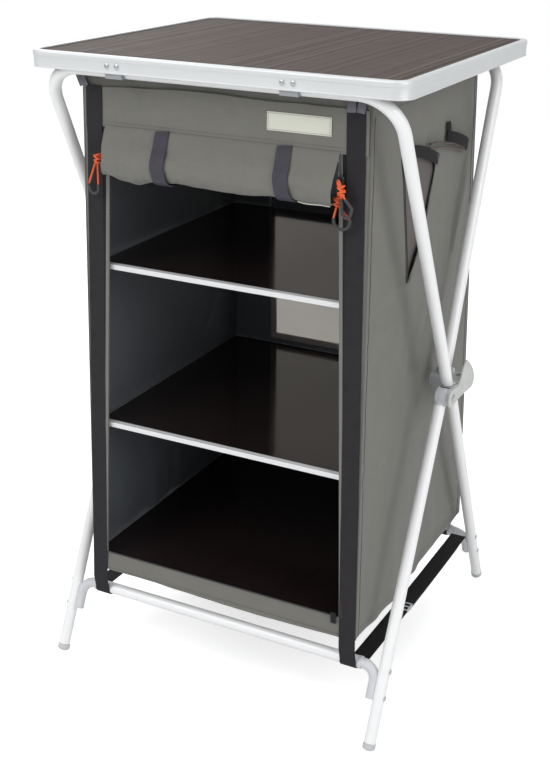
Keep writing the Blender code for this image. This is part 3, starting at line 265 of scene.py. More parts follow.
def emboss(tree, shader, height, depth, strength=1.0):
    """Raises the surface by a height of 0 to 1 times a depth in metres."""
    bump = add_node(tree, "ShaderNodeBump", {"Height": height, "Distance": depth, "Strength": strength})
    tree.links.new(bump.outputs[0], shader.inputs["Normal"])


# %% Woven cloth
def woven(name, colour, roughness, pitch, depth=0.00015, mottle_and_weave_shade=0.10, sheen=0.15):
    """A plain weave: threads at a pitch over and under each other, slubs along them, soft clouds."""
    made, tree, shader = new_finish(name, colour, roughness, Sheen_Weight=sheen, Sheen_Roughness=0.5)
    flat = coords(tree, "UV")
    parts = add_node(tree, "ShaderNodeSeparateXYZ", {0: flat})
    warp = maths(tree, "SINE", maths(tree, "MULTIPLY", parts.outputs[0], math.pi / pitch))
    weft = maths(tree, "SINE", maths(tree, "MULTIPLY", parts.outputs[1], math.pi / pitch))
    crossing = maths(tree, "ABSOLUTE", maths(tree, "MULTIPLY", warp, weft))
    thread = maths(tree, "POWER", crossing, 0.5)
    long_slub = speckle(tree, flat, 1.0, 1.0, (0.45 / pitch, 34.0, 1.0))
    cross_slub = speckle(tree, flat, 1.0, 1.0, (34.0, 0.45 / pitch, 1.0))
    slub = maths(tree, "ADD", long_slub, cross_slub)
    cloud = speckle(tree, flat, 14.0, 3.0)
    # Painted shade: the tone is lighter on the threads' tops and darker in the hollows between them; the
    # slubs and clouds are the cloth's own uneven tone.
    tone = maths(tree, "MULTIPLY_ADD", thread, 0.30, between(tree, slub, -0.30, 0.05))
    tone = maths(tree, "ADD", tone, between(tree, cloud, 0.30, 0.70), clamp=True)
    paint(tree, shader, tone, shade(colour, 1 - 2 * mottle_and_weave_shade), shade(colour, 1 + 2 * mottle_and_weave_shade))
    height = maths(tree, "MULTIPLY_ADD", slub, 0.35, thread)
    emboss(tree, shader, height, depth)
    return made


FINISH = {
    "cloth": woven("grey_olive_cloth", srgb(114, 113, 107), 0.86, 0.0009),
    "lining": woven("slate_lining_cloth", srgb(88, 92, 98), 0.62, 0.0007, 0.00008, 0.08, 0.05),
    # Pocket cloth: the wall's own cloth painted darker, as painted shade for the inside of the slit.
    "pocket": woven("pocket_cloth_painted_shade", srgb(97, 91, 89), 0.7, 0.0007, 0.00008, 0.10, 0.05),
    "binding": woven("grey_binding_tape", srgb(116, 117, 112), 0.8, 0.0008, 0.00012, 0.08),
    "tab_tape": woven("blue_grey_tape", srgb(108, 108, 116), 0.7, 0.0011, 0.0002, 0.12),
    "cream": woven("cream_patch_cloth", srgb(221, 221, 208), 0.8, 0.0006, 0.00008, 0.02),
}


# %% Webbing
def webbing(name, colour, roughness=0.72):
    """Chevron webbing: ribs across the strap that rise and fall in narrow columns."""
    made, tree, shader = new_finish(name, colour, roughness, Specular_IOR_Level=0.25)
    flat = coords(tree, "UV")
    parts = add_node(tree, "ShaderNodeSeparateXYZ", {0: flat})
    column = maths(tree, "PINGPONG", parts.outputs[0], 0.0020)
    lifted = maths(tree, "MULTIPLY_ADD", column, 0.8, parts.outputs[1])
    rib = maths(tree, "ABSOLUTE", maths(tree, "SINE", maths(tree, "MULTIPLY", lifted, math.pi / 0.0016)))
    wear = speckle(tree, flat, 60.0, 3.0)
    # Painted shade: the ribs' tops are painted lighter and the grooves between them darker; the wear noise is
    # the webbing's own uneven tone.
    tone = maths(tree, "MULTIPLY_ADD", rib, 0.5, between(tree, wear, -0.2, 0.6), clamp=True)
    paint(tree, shader, tone, shade(colour, 0.72), shade(colour, 1.35))
    emboss(tree, shader, rib, 0.00035)
    return made


FINISH["webbing"] = webbing("charcoal_webbing_weave", srgb(44, 42, 46))
FINISH["black_webbing"] = webbing("black_webbing_weave", srgb(38, 36, 38))


# %% Metal and plastic
def satin_metal(name, colour, roughness, metallic, stretch=(1.0, 1.0, 1.0)):
    """Satin aluminium: fine drawn lines and a faint cloud in its gloss."""
    made, tree, shader = new_finish(name, colour, roughness, metallic)
    where = coords(tree, "Object")
    drawn = speckle(tree, where, 260.0, 3.0, stretch)
    cloud = speckle(tree, where, 9.0, 2.0)
    tone = maths(tree, "MULTIPLY_ADD", drawn, 0.5, between(tree, cloud, 0.0, 0.5), clamp=True)
    paint(tree, shader, tone, shade(colour, 0.95), shade(colour, 1.04))
    tree.links.new(between(tree, cloud, roughness - 0.06, roughness + 0.06), shader.inputs["Roughness"])
    emboss(tree, shader, drawn, 0.00003)
    return made


def moulded(name, colour, roughness, grain=0.00005):
    """Moulded plastic: the fine spark-eroded grain of its tool and slight cloudiness."""
    made, tree, shader = new_finish(name, colour, roughness)
    where = coords(tree, "Object")
    fine = speckle(tree, where, 1600.0, 2.0)
    cloud = speckle(tree, where, 45.0, 2.0)
    paint(tree, shader, cloud, shade(colour, 0.92), shade(colour, 1.07))
    tree.links.new(between(tree, fine, roughness - 0.08, roughness + 0.08), shader.inputs["Roughness"])
    emboss(tree, shader, fine, grain)
    return made


FINISH["rail"] = satin_metal("rail_satin_aluminium", srgb(226, 228, 229), 0.42, 0.25, (0.06, 0.06, 1.0))
FINISH["tube"] = satin_metal("tube_satin_aluminium", srgb(252, 253, 254), 0.38, 0.06, (1.0, 1.0, 0.05))
FINISH["strip"] = satin_metal("shelf_strip_aluminium", srgb(236, 237, 238), 0.34, 0.20, (0.05, 1.0, 1.0))
FINISH["steel"] = satin_metal("rivet_steel", srgb(206, 208, 210), 0.28, 0.85)
FINISH["zip"] = satin_metal("zip_dark_metal", srgb(92, 90, 92), 0.38, 0.7)
FINISH["barrel"] = moulded("knuckle_lilac_plastic", srgb(210, 212, 218), 0.42)
FINISH["fork"] = moulded("fork_grey_plastic", srgb(158, 161, 164), 0.48)
FINISH["latch"] = moulded("latch_warm_plastic", srgb(206, 208, 204), 0.46, 0.0001)
FINISH["elbow"] = moulded("elbow_grey_plastic", srgb(212, 214, 217), 0.44)
FINISH["foot"] = moulded("foot_grey_plastic", srgb(203, 204, 206), 0.5)
FINISH["loop"] = moulded("dark_loop_rubber", srgb(62, 61, 64), 0.55)


# %% Board and shelves
def striped_board(name):
    """The table's printed board: fine lines from front to back, in uneven groups, under a satin film."""
    made, tree, shader = new_finish(name, srgb(84, 77, 73), 0.66, Specular_IOR_Level=0.05)
    where = coords(tree, "Object")
    parts = add_node(tree, "ShaderNodeSeparateXYZ", {0: where})
    sway = maths(tree, "MULTIPLY", speckle(tree, where, 1.0, 2.0, (4.0, 2.5, 1.0)), 0.006)
    x = maths(tree, "ADD", parts.outputs[0], sway)

    def stripes(scale, detail):
        node = add_node(tree, "ShaderNodeTexNoise", {"W": x, "Scale": scale, "Detail": detail},
                        noise_dimensions="1D")
        return node.outputs["Fac"]

    line = steeper(tree, stripes(460.0, 1.0), 3.6, 0.5)
    band = steeper(tree, stripes(95.0, 2.0), 3.0, 0.5)
    strong = steeper(tree, stripes(17.0, 1.0), 3.0, 0.6)
    tone = maths(tree, "MULTIPLY_ADD", line, 0.55, maths(tree, "MULTIPLY", band, 0.45))
    tone = steeper(tree, tone, strong, 0.5)
    paint(tree, shader, tone, (*srgb(49, 45, 43), 1.0), (*srgb(120, 109, 103), 1.0))
    emboss(tree, shader, tone, 0.00005)
    tree.links.new(between(tree, speckle(tree, where, 30.0), 0.55, 0.70), shader.inputs["Roughness"])
    return made


def dark_gloss(name):
    """The shelves' near-black film: a faint brown wood grain under a gloss that mirrors the window."""
    made, tree, shader = new_finish(name, srgb(22, 17, 18), 0.10)
    where = coords(tree, "Object")
    grain = speckle(tree, where, 1.0, 3.0, (420.0, 9.0, 40.0))
    cloud = speckle(tree, where, 7.0, 2.0)
    tone = maths(tree, "MULTIPLY", grain, between(tree, cloud, 0.5, 1.2), clamp=True)
    paint(tree, shader, tone, (*srgb(18, 15, 16), 1.0), (*srgb(45, 33, 32), 1.0))
    tree.links.new(between(tree, grain, 0.07, 0.15), shader.inputs["Roughness"])
    return made


FINISH["board"] = striped_board("printed_line_board")
FINISH["shelf"] = dark_gloss("dark_shelf_film")


# %% Window, cords and threads
def window_cloth(name):
    """The window's frosted cloth: light comes through it, so it looks pale against the dark back."""
    colour = srgb(212, 207, 200)
    made, tree, shader = new_finish(name, colour, 0.75, Transmission_Weight=0.7, IOR=1.05)
    flat = coords(tree, "UV")
    weave = speckle(tree, flat, 1.0, 2.0, (900.0, 120.0, 1.0))
    cloud = speckle(tree, flat, 11.0, 3.0)
    tone = maths(tree, "MULTIPLY_ADD", weave, 0.3, between(tree, cloud, 0.1, 0.6), clamp=True)
    paint(tree, shader, tone, shade(colour, 0.88), shade(colour, 1.1))
    emboss(tree, shader, weave, 0.0001)
    return made


def laid_cord(name, colour, roughness=0.6):
    """Braided cord: small diamonds along it."""
    made, tree, shader = new_finish(name, colour, roughness, Sheen_Weight=0.1)
    where = coords(tree, "Object")
    cells = add_node(tree, "ShaderNodeTexVoronoi", {"Vector": where, "Scale": 900.0}).outputs["Distance"]
    paint(tree, shader, cells, shade(colour, 1.1), shade(colour, 0.7))
    emboss(tree, shader, cells, 0.0002, 0.6)
    return made


FINISH["window"] = window_cloth("window_frosted_cloth")
FINISH["brown"] = laid_cord("brown_clear_cord", srgb(72, 50, 44), 0.4)
for key, name, colour in (("orange", "orange_pull_cord", (255, 105, 48)),
                          ("thread", "grey_seam_thread", (126, 125, 118)),
                          ("dark_thread", "dark_seam_thread", (66, 66, 64)),
                          ("pale_thread", "pale_bar_tack_thread", (150, 146, 142)),
                          ("cloth_cord", "grey_olive_piping", (104, 103, 97)),
                          ("dark_cord", "dark_piping", (56, 55, 54)),
                          ("pale_cord", "pale_piping", (170, 170, 166)),
                          ("binding_cord", "grey_binding_piping", (122, 122, 117))):
    FINISH[key] = laid_cord(name, srgb(*colour))
FINISH["zip_coil"] = moulded("black_zip_coil", srgb(40, 38, 40), 0.5)
FINISH["tie_web"] = webbing("lilac_charcoal_tape", srgb(74, 71, 80))
FINISH["shelf_edge"] = moulded("pale_shelf_edging", srgb(138, 138, 136), 0.5)


def pale_ground(name):
    """The floor: pale, and paler still to the camera, so the background is white and keeps the shadow."""
    made, tree, shader = new_finish(name, (0.86, 0.86, 0.855), 0.85)
    rays = add_node(tree, "ShaderNodeLightPath")
    seen = maths(tree, "MULTIPLY", rays.outputs["Is Camera Ray"], 0.60)
    shader.inputs["Emission Color"].default_value = (1.0, 1.0, 1.0, 1.0)
    tree.links.new(seen, shader.inputs["Emission Strength"])
    return made


FINISH["ground"] = pale_ground("pale_ground")
print("finishes:", len(FINISH))

# %% [markdown]
# ## Building helpers
# A piece is a mesh whose place is in its own points. Rings of points are lofted or turned into hard
# shapes, and two small Geometry Nodes trees do what repeats: one sweeps a round section along lines,
# the other sets a small piece down again and again along them.

# %% Pieces from meshes
SMOOTH_BELOW = math.radians(38)


def add_piece(name, mesh):
    piece = bpy.data.objects.new(name, mesh)
    bpy.context.scene.collection.objects.link(piece)
    return piece


def size_of(piece):
    return tuple(round(c, 3) for c in piece.dimensions)


def shade_piece(piece):
    piece.data.shade_smooth()
    piece.data.set_sharp_from_angle(angle=SMOOTH_BELOW)
    return piece


def from_form(name, form, finish, outwards=True):
    """A piece from a bmesh, with its finish; a closed shape's faces are turned outwards."""
    if outwards:
        bmesh.ops.recalc_face_normals(form, faces=form.faces)
    mesh = bpy.data.meshes.new(name)
    form.to_mesh(mesh)
    form.free()
    mesh.materials.append(FINISH[finish])
    return shade_piece(add_piece(name, mesh))


def settle(piece):
    """Keeps what the piece's modifiers make as its own plain mesh."""
    bpy.context.view_layer.update()
    graph = bpy.context.evaluated_depsgraph_get()
    made = bpy.data.meshes.new_from_object(piece.evaluated_get(graph))
    piece.modifiers.clear()
    piece.data = made
    return shade_piece(piece)


def merged(name, pieces):
    """One piece from several, each with its own finish."""
    with bpy.context.temp_override(active_object=pieces[0], object=pieces[0],
                                   selected_editable_objects=pieces, selected_objects=pieces):
        bpy.ops.object.join()
    pieces[0].name = name
    return pieces[0]


def carve(piece, *tools):
    """Cuts the tools' shapes out of a piece."""
    for tool in tools:
        step = piece.modifiers.new("cut", "BOOLEAN")
        step.operation, step.object, step.solver = "DIFFERENCE", tool, "EXACT"
    settle(piece)
    for tool in tools:
        bpy.data.objects.remove(tool, do_unlink=True)
    return piece


# %% Rings, turned shapes and plates
def loft(form, rings, closed=True, caps=True, around=True):
    """Faces between rings of places. closed joins the last ring to the first; caps close the ends."""
    made = [[form.verts.new(p) for p in ring] for ring in rings]
    pairs = list(zip(made, made[1:])) + ([(made[-1], made[0])] if closed else [])
    for a, b in pairs:
        for i in range(len(a) if around else len(a) - 1):
            j = (i + 1) % len(a)
            form.faces.new((a[i], a[j], b[j], b[i]))
    if caps and not closed:
        form.faces.new(made[0])
        form.faces.new(list(reversed(made[-1])))
    return made


def round_angles(count, whole=False):
    """Angles round a circle; whole gives the first one again at the end."""
    return [2 * math.pi * i / count for i in range(count + whole)]


def turned(name, profile, start, way, finish, sides=36):
    """A turned piece: pairs of radius and distance along way, both ends on the axis or closed flat."""
    form = bmesh.new()
    turn = Vector(way).to_track_quat("Z", "Y").to_matrix()
    rings = []
    for radius, distance in profile:
        wide = max(radius, 1e-5)
        rings.append([Vector(start) + turn @ Vector((wide * math.cos(a), wide * math.sin(a), distance))
                      for a in round_angles(sides)])
    loft(form, rings, closed=False)
    bmesh.ops.remove_doubles(form, verts=form.verts, dist=0.00003)
    return from_form(name, form, finish)


def drum(radius, length, edge):
    """The profile of a drum with rounded edges."""
    return [(0.0, 0.0), (radius - edge, 0.0), (radius - 0.3 * edge, 0.3 * edge), (radius, edge),
            (radius, length - edge), (radius - 0.3 * edge, length - 0.3 * edge),
            (radius - edge, length), (0.0, length)]


def arc(middle, radius, start, stop, steps):
    turns = [math.radians(start + (stop - start) * i / steps) for i in range(steps + 1)]
    return [Vector((middle[0] + radius * math.cos(t), middle[1] + radius * math.sin(t))) for t in turns]


def plate(name, outline, x_low, x_high, finish, edge=0.0, curved=False):
    """A plate whose outline is drawn in Y and Z, between two places along X, with rounded edges."""
    data = bpy.data.curves.new(name, "CURVE")
    data.dimensions, data.fill_mode = "2D", "BOTH"
    data.extrude, data.bevel_depth, data.offset = (x_high - x_low) / 2 - edge, edge, -edge
    data.bevel_resolution, data.resolution_u = 2, 8
    spline = data.splines.new("BEZIER" if curved else "POLY")
    points = spline.bezier_points if curved else spline.points
    points.add(len(outline) - 1)
    for point, (y, z) in zip(points, outline):
        point.co = (y, z, 0.0) if curved else (y, z, 0.0, 1.0)
        if curved:
            point.handle_left_type = point.handle_right_type = "AUTO"
    spline.use_cyclic_u = True
    shape = bpy.data.objects.new(name, data)
    bpy.context.scene.collection.objects.link(shape)
    bpy.context.view_layer.update()
    mesh = bpy.data.meshes.new_from_object(shape.evaluated_get(bpy.context.evaluated_depsgraph_get()))
    bpy.data.objects.remove(shape, do_unlink=True)
    facing = Matrix(((0, 0, 1, (x_low + x_high) / 2), (1, 0, 0, 0), (0, 1, 0, 0), (0, 0, 0, 1)))
    form = bmesh.new()
    form.from_mesh(mesh)
    form.transform(facing)
    bmesh.ops.remove_doubles(form, verts=form.verts, dist=0.00002)
    return from_form(name, form, finish)


# %% Routes
def rounded_route(corners, radius, steps=14):
    """A route through corners, each inner corner rounded to a radius."""
    corners = [Vector(c) for c in corners]
    route = [corners[0]]
    for before, corner, after in zip(corners, corners[1:], corners[2:]):
        towards, away = (before - corner).normalized(), (after - corner).normalized()
        half = towards.angle(away) / 2
        if math.pi - 2 * half < math.radians(5):
            route.append(corner)
            continue
        reach = radius / math.tan(half)
        middle = corner + (towards + away).normalized() * (radius / math.sin(half))
        first, last = corner + towards * reach - middle, corner + away * reach - middle
        route += [middle + first.slerp(last, i / steps).normalized() * radius for i in range(steps + 1)]
    return route + [corners[-1]]


def smooth_line(points, steps=8, closed=False):
    """A soft line through every one of the points."""
    points = [Vector(p) for p in points]
    count, line = len(points), []
    for i in range(count if closed else count - 1):
        b, c = points[i], points[(i + 1) % count]
        a = points[i - 1] if closed or i else b * 2 - c
        d = points[(i + 2) % count] if closed or i + 2 < count else c * 2 - b
        for k in range(steps):
            t = k / steps
            line.append((b * 2 + (c - a) * t + (a * 2 - b * 5 + c * 4 - d) * t ** 2
                         + (b * 3 - a - c * 3 + d) * t ** 3) / 2)
    return line if closed else line + [points[-1]]


def steps_between(low, high, count):
    return [low + (high - low) * i / count for i in range(count + 1)]


def shares(count):
    return steps_between(0, 1, count)


def both_ways(reach, count):
    return steps_between(-reach, reach, count)


def run_length(line):
    return sum((b - a).length for a, b in zip(line, line[1:]))


# %% Geometry Nodes: a round section along lines
def new_tree(name, inputs):
    """A Geometry Nodes tree with named inputs; returns it with its first and last nodes."""
    tree = bpy.data.node_groups.new(name, "GeometryNodeTree")
    tree.interface.new_socket("Geometry", in_out="INPUT", socket_type="NodeSocketGeometry")
    for label, kind in inputs:
        tree.interface.new_socket(label, in_out="INPUT", socket_type="NodeSocket" + kind)
    tree.interface.new_socket("Geometry", in_out="OUTPUT", socket_type="NodeSocketGeometry")
    return tree, tree.nodes.new("NodeGroupInput"), tree.nodes.new("NodeGroupOutput")


def end_tree(tree, shape, start, end):
    """Real geometry, smooth and with its finish, leaves the tree."""
    smooth = add_node(tree, "GeometryNodeSetShadeSmooth", {0: shape})
    real = add_node(tree, "GeometryNodeRealizeInstances", {0: smooth.outputs[0]})
    finished = add_node(tree, "GeometryNodeSetMaterial",
                        {"Geometry": real.outputs[0], "Material": start.outputs["Finish"]})
    tree.links.new(finished.outputs[0], end.inputs[0])


SWEEP, start, end = new_tree("sweep_round_section",
                             [("Radius", "Float"), ("Sides", "Int"), ("Finish", "Material")])
lines = add_node(SWEEP, "GeometryNodeMeshToCurve", {0: start.outputs["Geometry"]})
section = add_node(SWEEP, "GeometryNodeCurvePrimitiveCircle",
                   {"Resolution": start.outputs["Sides"], "Radius": start.outputs["Radius"]})
swept = add_node(SWEEP, "GeometryNodeCurveToMesh",
                 {"Curve": lines.outputs[0], "Profile Curve": section.outputs[0], "Fill Caps": True})
end_tree(SWEEP, swept.outputs[0], start, end)

# %% Geometry Nodes: a small piece again and again along lines
REPEAT, start, end = new_tree("repeat_along_lines", [("Pitch", "Float"), ("Piece", "Object"),
                                                     ("Facing", "Vector"), ("Finish", "Material")])
lines = add_node(REPEAT, "GeometryNodeMeshToCurve", {0: start.outputs["Geometry"]})
spaced = add_node(REPEAT, "GeometryNodeResampleCurve", {"Curve": lines.outputs[0],
                                                        "Length": start.outputs["Pitch"]}, mode="LENGTH")
source = add_node(REPEAT, "GeometryNodeObjectInfo", {"Object": start.outputs["Piece"]})
tangent = add_node(REPEAT, "GeometryNodeInputTangent")
along = add_node(REPEAT, "FunctionNodeAlignRotationToVector", {"Vector": tangent.outputs[0]}, axis="X")
facing = add_node(REPEAT, "FunctionNodeAlignRotationToVector",
                  {"Rotation": along.outputs[0], "Vector": start.outputs["Facing"]},
                  axis="Z", pivot_axis="X")
copies = add_node(REPEAT, "GeometryNodeInstanceOnPoints",
                  {"Points": spaced.outputs[0], "Instance": source.outputs["Geometry"],
                   "Rotation": facing.outputs[0]})
end_tree(REPEAT, copies.outputs[0], start, end)


def line_piece(name, lines, closed=False):
    """A piece of bare edges that a tree follows: one line of places, or several."""
    form = bmesh.new()
    for line in lines:
        made = [form.verts.new(p) for p in line]
        for a, b in zip(made, made[1:] + (made[:1] if closed else [])):
            form.edges.new((a, b))
    mesh = bpy.data.meshes.new(name)
    form.to_mesh(mesh)
    form.free()
    return add_piece(name, mesh)


def run_tree(piece, tree, values):
    """Runs a tree on a piece with its inputs set by name, and keeps the result."""
    layer = piece.modifiers.new(tree.name, "NODES")
    layer.node_group = tree
    for item in tree.interface.items_tree:
        if item.in_out == "INPUT" and item.name in values:
            layer[item.identifier] = values[item.name]
    return settle(piece)


def rope(name, lines, radius, finish, sides=20, closed=False):
    """Round stock along one line, or several."""
    lines = [lines] if isinstance(lines[0], Vector) else lines
    values = {"Radius": radius, "Sides": sides, "Finish": FINISH[finish]}
    return run_tree(line_piece(name, lines, closed), SWEEP, values)


def repeat(name, lines, pitch, small, finish, facing=(0.0, -1.0, 0.0)):
    lines = [lines] if isinstance(lines[0], Vector) else lines
    values = {"Pitch": pitch, "Piece": small, "Facing": facing, "Finish": FINISH[finish]}
    return run_tree(line_piece(name, lines), REPEAT, values)


# %% The small pieces that repeat
def small_piece(name, sides, levels, size):
    """A little rounded grain, such as one stitch of thread."""
    form = bmesh.new()
    bmesh.ops.create_uvsphere(form, u_segments=sides, v_segments=levels, radius=0.5)
    bmesh.ops.rotate(form, verts=form.verts, matrix=Matrix.Rotation(math.pi / 2, 3, "Y"))
    bmesh.ops.scale(form, verts=form.verts, vec=size)
    return from_form(name, form, "thread")


STITCH = small_piece("one_stitch", 6, 5, (0.0030, 0.0007, 0.0006))
TOOTH = small_piece("one_zip_coil", 6, 4, (0.0009, 0.0034, 0.0011))
print("trees:", SWEEP.name, REPEAT.name)

# %% [markdown]
# ## Table top
# The board lies in a rail of extruded aluminium. The rail's section is one closed outline, lofted
# round the table with rounded corners, so its band, step, recess and foot run on without a break.

# %% Rail
RAIL_CORNER = 0.026


def keep(piece, body, slot, *nodes):
    """Fastens a rigid piece to its body, in the place of the nodes it stands for."""
    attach(piece, body)
    if nodes:
        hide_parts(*nodes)
    return piece


def refinish(node, finish):
    """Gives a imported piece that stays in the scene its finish."""
    materials = frame["nodes"][node].data.materials
    materials.clear()
    materials.append(FINISH[finish])


def table_outline(inset, z, steps=12):
    """Places round the table at an inset from its edge."""
    corner = max(RAIL_CORNER - inset, 0.003)
    x, y = HALF_WIDTH - inset - corner, HALF_DEPTH - inset - corner
    ring = []
    for side_x, side_y, first in ((1, 1, 0), (-1, 1, 90), (-1, -1, 180), (1, -1, 270)):
        ring += [Vector((*p, z)) for p in arc((side_x * x, side_y * y), corner, first, first + 90, steps)]
    return ring


# Inset from the table's edge and drop below its top, in millimetres.
RAIL_SECTION_MM = [(10.0, 0.3), (9.7, 0.0), (3.4, 0.0), (2.3, 0.15), (1.3, 0.55), (0.55, 1.2),
                   (0.12, 2.1), (0.0, 3.2), (0.0, 8.0), (0.12, 8.35), (0.8, 8.5), (0.8, 9.1),
                   (0.8, 22.2), (0.7, 22.6), (0.1, 22.8), (0.0, 23.1), (0.0, 24.4), (0.4, 24.8),
                   (2.4, 24.8), (2.8, 24.4), (2.8, 2.0), (9.7, 2.0), (10.0, 1.7)]
form = bmesh.new()
loft(form, [table_outline(inset / 1000, TABLE_TOP - drop / 1000) for inset, drop in RAIL_SECTION_MM])
rail = from_form("rail_frame", form, "rail")
keep(rail, "table", "satin_aluminium", "table_rail")
refinish("table_board", "board")
print("rail faces:", len(rail.data.polygons))

# %% Rail rivets
rivet_head = turned("one_rivet", [(0.0, 0.0), (0.0045, 0.0), (0.0046, 0.0003), (0.0041, 0.0009),
                                  (0.0030, 0.0014), (0.0014, 0.00165), (0.0009, 0.0014), (0.0, 0.0014)],
                    (0, 0, 0), (0, 0, 1), "steel", sides=20)
RIVET_Z = 1.0090
RIVET_PAIRS = ((-0.1585, 0.0167), (0.1207, 0.0166))
rivet_pieces = []
for end_name, end_sign in ENDS.items():
    y = end_sign * (HALF_DEPTH - 0.00085)
    pairs = [[Vector((x, y, RIVET_Z)), Vector((x + apart, y, RIVET_Z))] for x, apart in RIVET_PAIRS]
    rivet_pieces.append(repeat(f"rivets_{end_name}", pairs, 0.0160, rivet_head, "steel",
                               (0.0, end_sign, 0.0)))
rivets = merged("rail_rivets", rivet_pieces)
keep(rivets, "table", "satin_aluminium")
print("rivets:", size_of(rivets))

# %% Saddles
for end_name, end_sign, side_name, side in CORNERS:
    refinish(f"saddle_{end_name}_{side_name}", "fork")

# %% [markdown]
# ## Folding frames
# Each upper frame is one tube bent into a U, and each leg is a straight tube. Both are a round
# section swept along a line, which keeps a bend as round as a tube bender leaves it.

# %% Tubes
BAR_INSET = 0.0445
FOOT_LONG = 0.013
for end_name, end_sign in ENDS.items():
    track = TRACK[end_name]
    half = [(track, UPPER_END), (track, UPPER_END - UPPER_WAY * 0.045), (track - 0.0115, CROSSBAR)]
    corners = ([place(end_sign, 1, u, p) for u, p in half]
               + [place(end_sign, -1, u, p) for u, p in reversed(half)])
    tube = rope(f"{end_name}_u_tube", rounded_route(corners, 0.060), TUBE, "tube", 32)
    keep(tube, f"{end_name}_upper", "satin_aluminium", f"{end_name}_upper_frame")
    bar_reach = track - BAR_INSET - GAP
    bar = rope(f"{end_name}_bar_tube", [place(end_sign, side, bar_reach, BAR) for side in (-1, 1)],
               TUBE, "tube", 32)
    keep(bar, f"{end_name}_lower", "satin_aluminium", f"{end_name}_bottom_bar")
    for side_name, side in SIDES.items():
        leg_ends = [KNEE + LEG_WAY * along_leg for along_leg in (0.0146, LEG_LENGTH - FOOT_LONG)]
        leg = rope(f"{end_name}_leg_tube_{side_name}", [place(end_sign, side, track, p) for p in leg_ends],
                   TUBE, "tube", 32)
        keep(leg, f"{end_name}_lower", "satin_aluminium", f"{end_name}_leg_{side_name}")
print("tubes:", size_of(tube), size_of(bar), size_of(leg))

# %% Feet
start_at = KNEE + LEG_WAY * (LEG_LENGTH - FOOT_LONG + GAP)
cap = [(0.0102 * math.cos(math.radians(a)), 0.0070 + 0.0045 * math.sin(math.radians(a)))
       for a in range(0, 91, 9)]
foot_profile = [(0.0, 0.0), (0.0098, 0.0), (0.0102, 0.0004)] + cap[:-1] + [(0.0, 0.0115)]
for end_name, end_sign, side_name, side in CORNERS:
    at = partial(place, end_sign, side)
    foot = turned(f"{end_name}_foot_cap_{side_name}", foot_profile, at(TRACK[end_name], start_at),
                  at(0.0, LEG_WAY), "foot")
    for vertex in foot.data.vertices:
        vertex.co.z = max(vertex.co.z, 0.0)
    keep(foot, f"{end_name}_lower", "grey_plastic", f"{end_name}_foot_{side_name}")

# %% [markdown]
# ## Knees
# A knee is a barrel in the leg's top between two thin cheeks of the fork in the upper tube's end.
# The latch is a leaf of plastic on the front knee's pin; its jaw takes the back knee's boss.

# %% Forks
CHEEK_RADIUS = 0.0135
FRONT_X = {"inner": 0.2840, "barrel": 0.2859, "cheek": 0.3049, "face": 0.3074}
BACK_X = {"inner": 0.2522, "barrel": 0.2541, "cheek": 0.2754, "face": 0.2770}
KNUCKLE = {"front": FRONT_X, "back": BACK_X}
LATCH_X = (0.3077, 0.3109)


def belt(first, first_radius, second, second_radius, steps=20):
    """The outline of a belt round two circles."""
    line = second - first
    turn = math.degrees(math.atan2(line.y, line.x))
    lean = 90 - math.degrees(math.asin((first_radius - second_radius) / line.length))
    return (arc(first, first_radius, turn + lean, turn + 360 - lean, steps)
            + arc(second, second_radius, turn - lean, turn + lean, steps))


def across(end_sign, outline):
    return [(end_sign * v, z) for v, z in outline]


def span(side, low, high):
    return sorted((side * low, side * high))


def rod_tool(start, stop, radius):
    way = Vector(stop) - Vector(start)
    return turned("tool", [(0.0, 0.0), (radius, 0.0), (radius, way.length), (0.0, way.length)],
                  start, way, "fork", sides=32)


def tube_tool(at, track):
    """The room that the upper tube's end takes in a knuckle."""
    return rod_tool(at(track, UPPER_END - UPPER_WAY * 0.03), at(track, UPPER_END + UPPER_WAY * GAP),
                    TUBE + GAP)


SEAT = UPPER_END + UPPER_WAY * (0.0105 + GAP)
PIN_HEAD = [(0.0, 0.0), (0.0063, 0.0), (0.0065, 0.0003), (0.0064, 0.0010), (0.0054, 0.0017),
            (0.0035, 0.0020), (0.0030, 0.0015), (0.0, 0.0014)]
PIN_BOSS = [(0.0, 0.0), (0.0060, 0.0), (0.0060, 0.0064), (0.0057, 0.0073), (0.0046, 0.0077),
            (0.0030, 0.0077), (0.0026, 0.0070), (0.0, 0.0070)]
for end_name, end_sign, side_name, side in CORNERS:
    at, x, track = partial(place, end_sign, side), KNUCKLE[end_name], TRACK[end_name]
    hull = across(end_sign, belt(KNEE, CHEEK_RADIUS, SEAT, 0.0105))
    inner = plate("inner_cheek", hull, *span(side, x["inner"], x["barrel"] - GAP), "barrel", 0.0003)
    outer = plate("outer_cheek", hull, *span(side, x["cheek"], x["face"]), "barrel", 0.0004)
    block = plate("socket", hull, *span(side, x["inner"] + 0.0004, x["cheek"] + 0.0004), "fork", 0.0003)
    barrel_room = rod_tool(at(x["barrel"] - 2 * GAP, KNEE), at(x["cheek"] + 0.0004, KNEE), 0.0149)
    carve(block, barrel_room, tube_tool(at, track))
    for cheek in (inner, outer):
        carve(cheek, tube_tool(at, track))
    if end_name == "front":
        pin_end, cap_at, cap_profile, cap_finish = LATCH_X[1] + GAP, LATCH_X[1] + GAP, PIN_HEAD, "steel"
    else:
        pin_end, cap_at, cap_profile, cap_finish = x["face"] - 0.001, x["face"] - 0.0002, PIN_BOSS, "latch"
    pin = turned("pin", drum(0.004, pin_end - x["inner"], 0.0003), at(x["inner"] + 0.0006, KNEE),
                 (side, 0, 0), "fork")
    pin_cap = turned("pin_cap", cap_profile, at(cap_at, KNEE), (side, 0, 0), cap_finish)
    fork = merged(f"{end_name}_knee_fork_{side_name}", [block, inner, outer, pin, pin_cap])
    keep(fork, f"{end_name}_upper", "grey_plastic", f"{end_name}_fork_{side_name}")
print("fork:", size_of(fork))

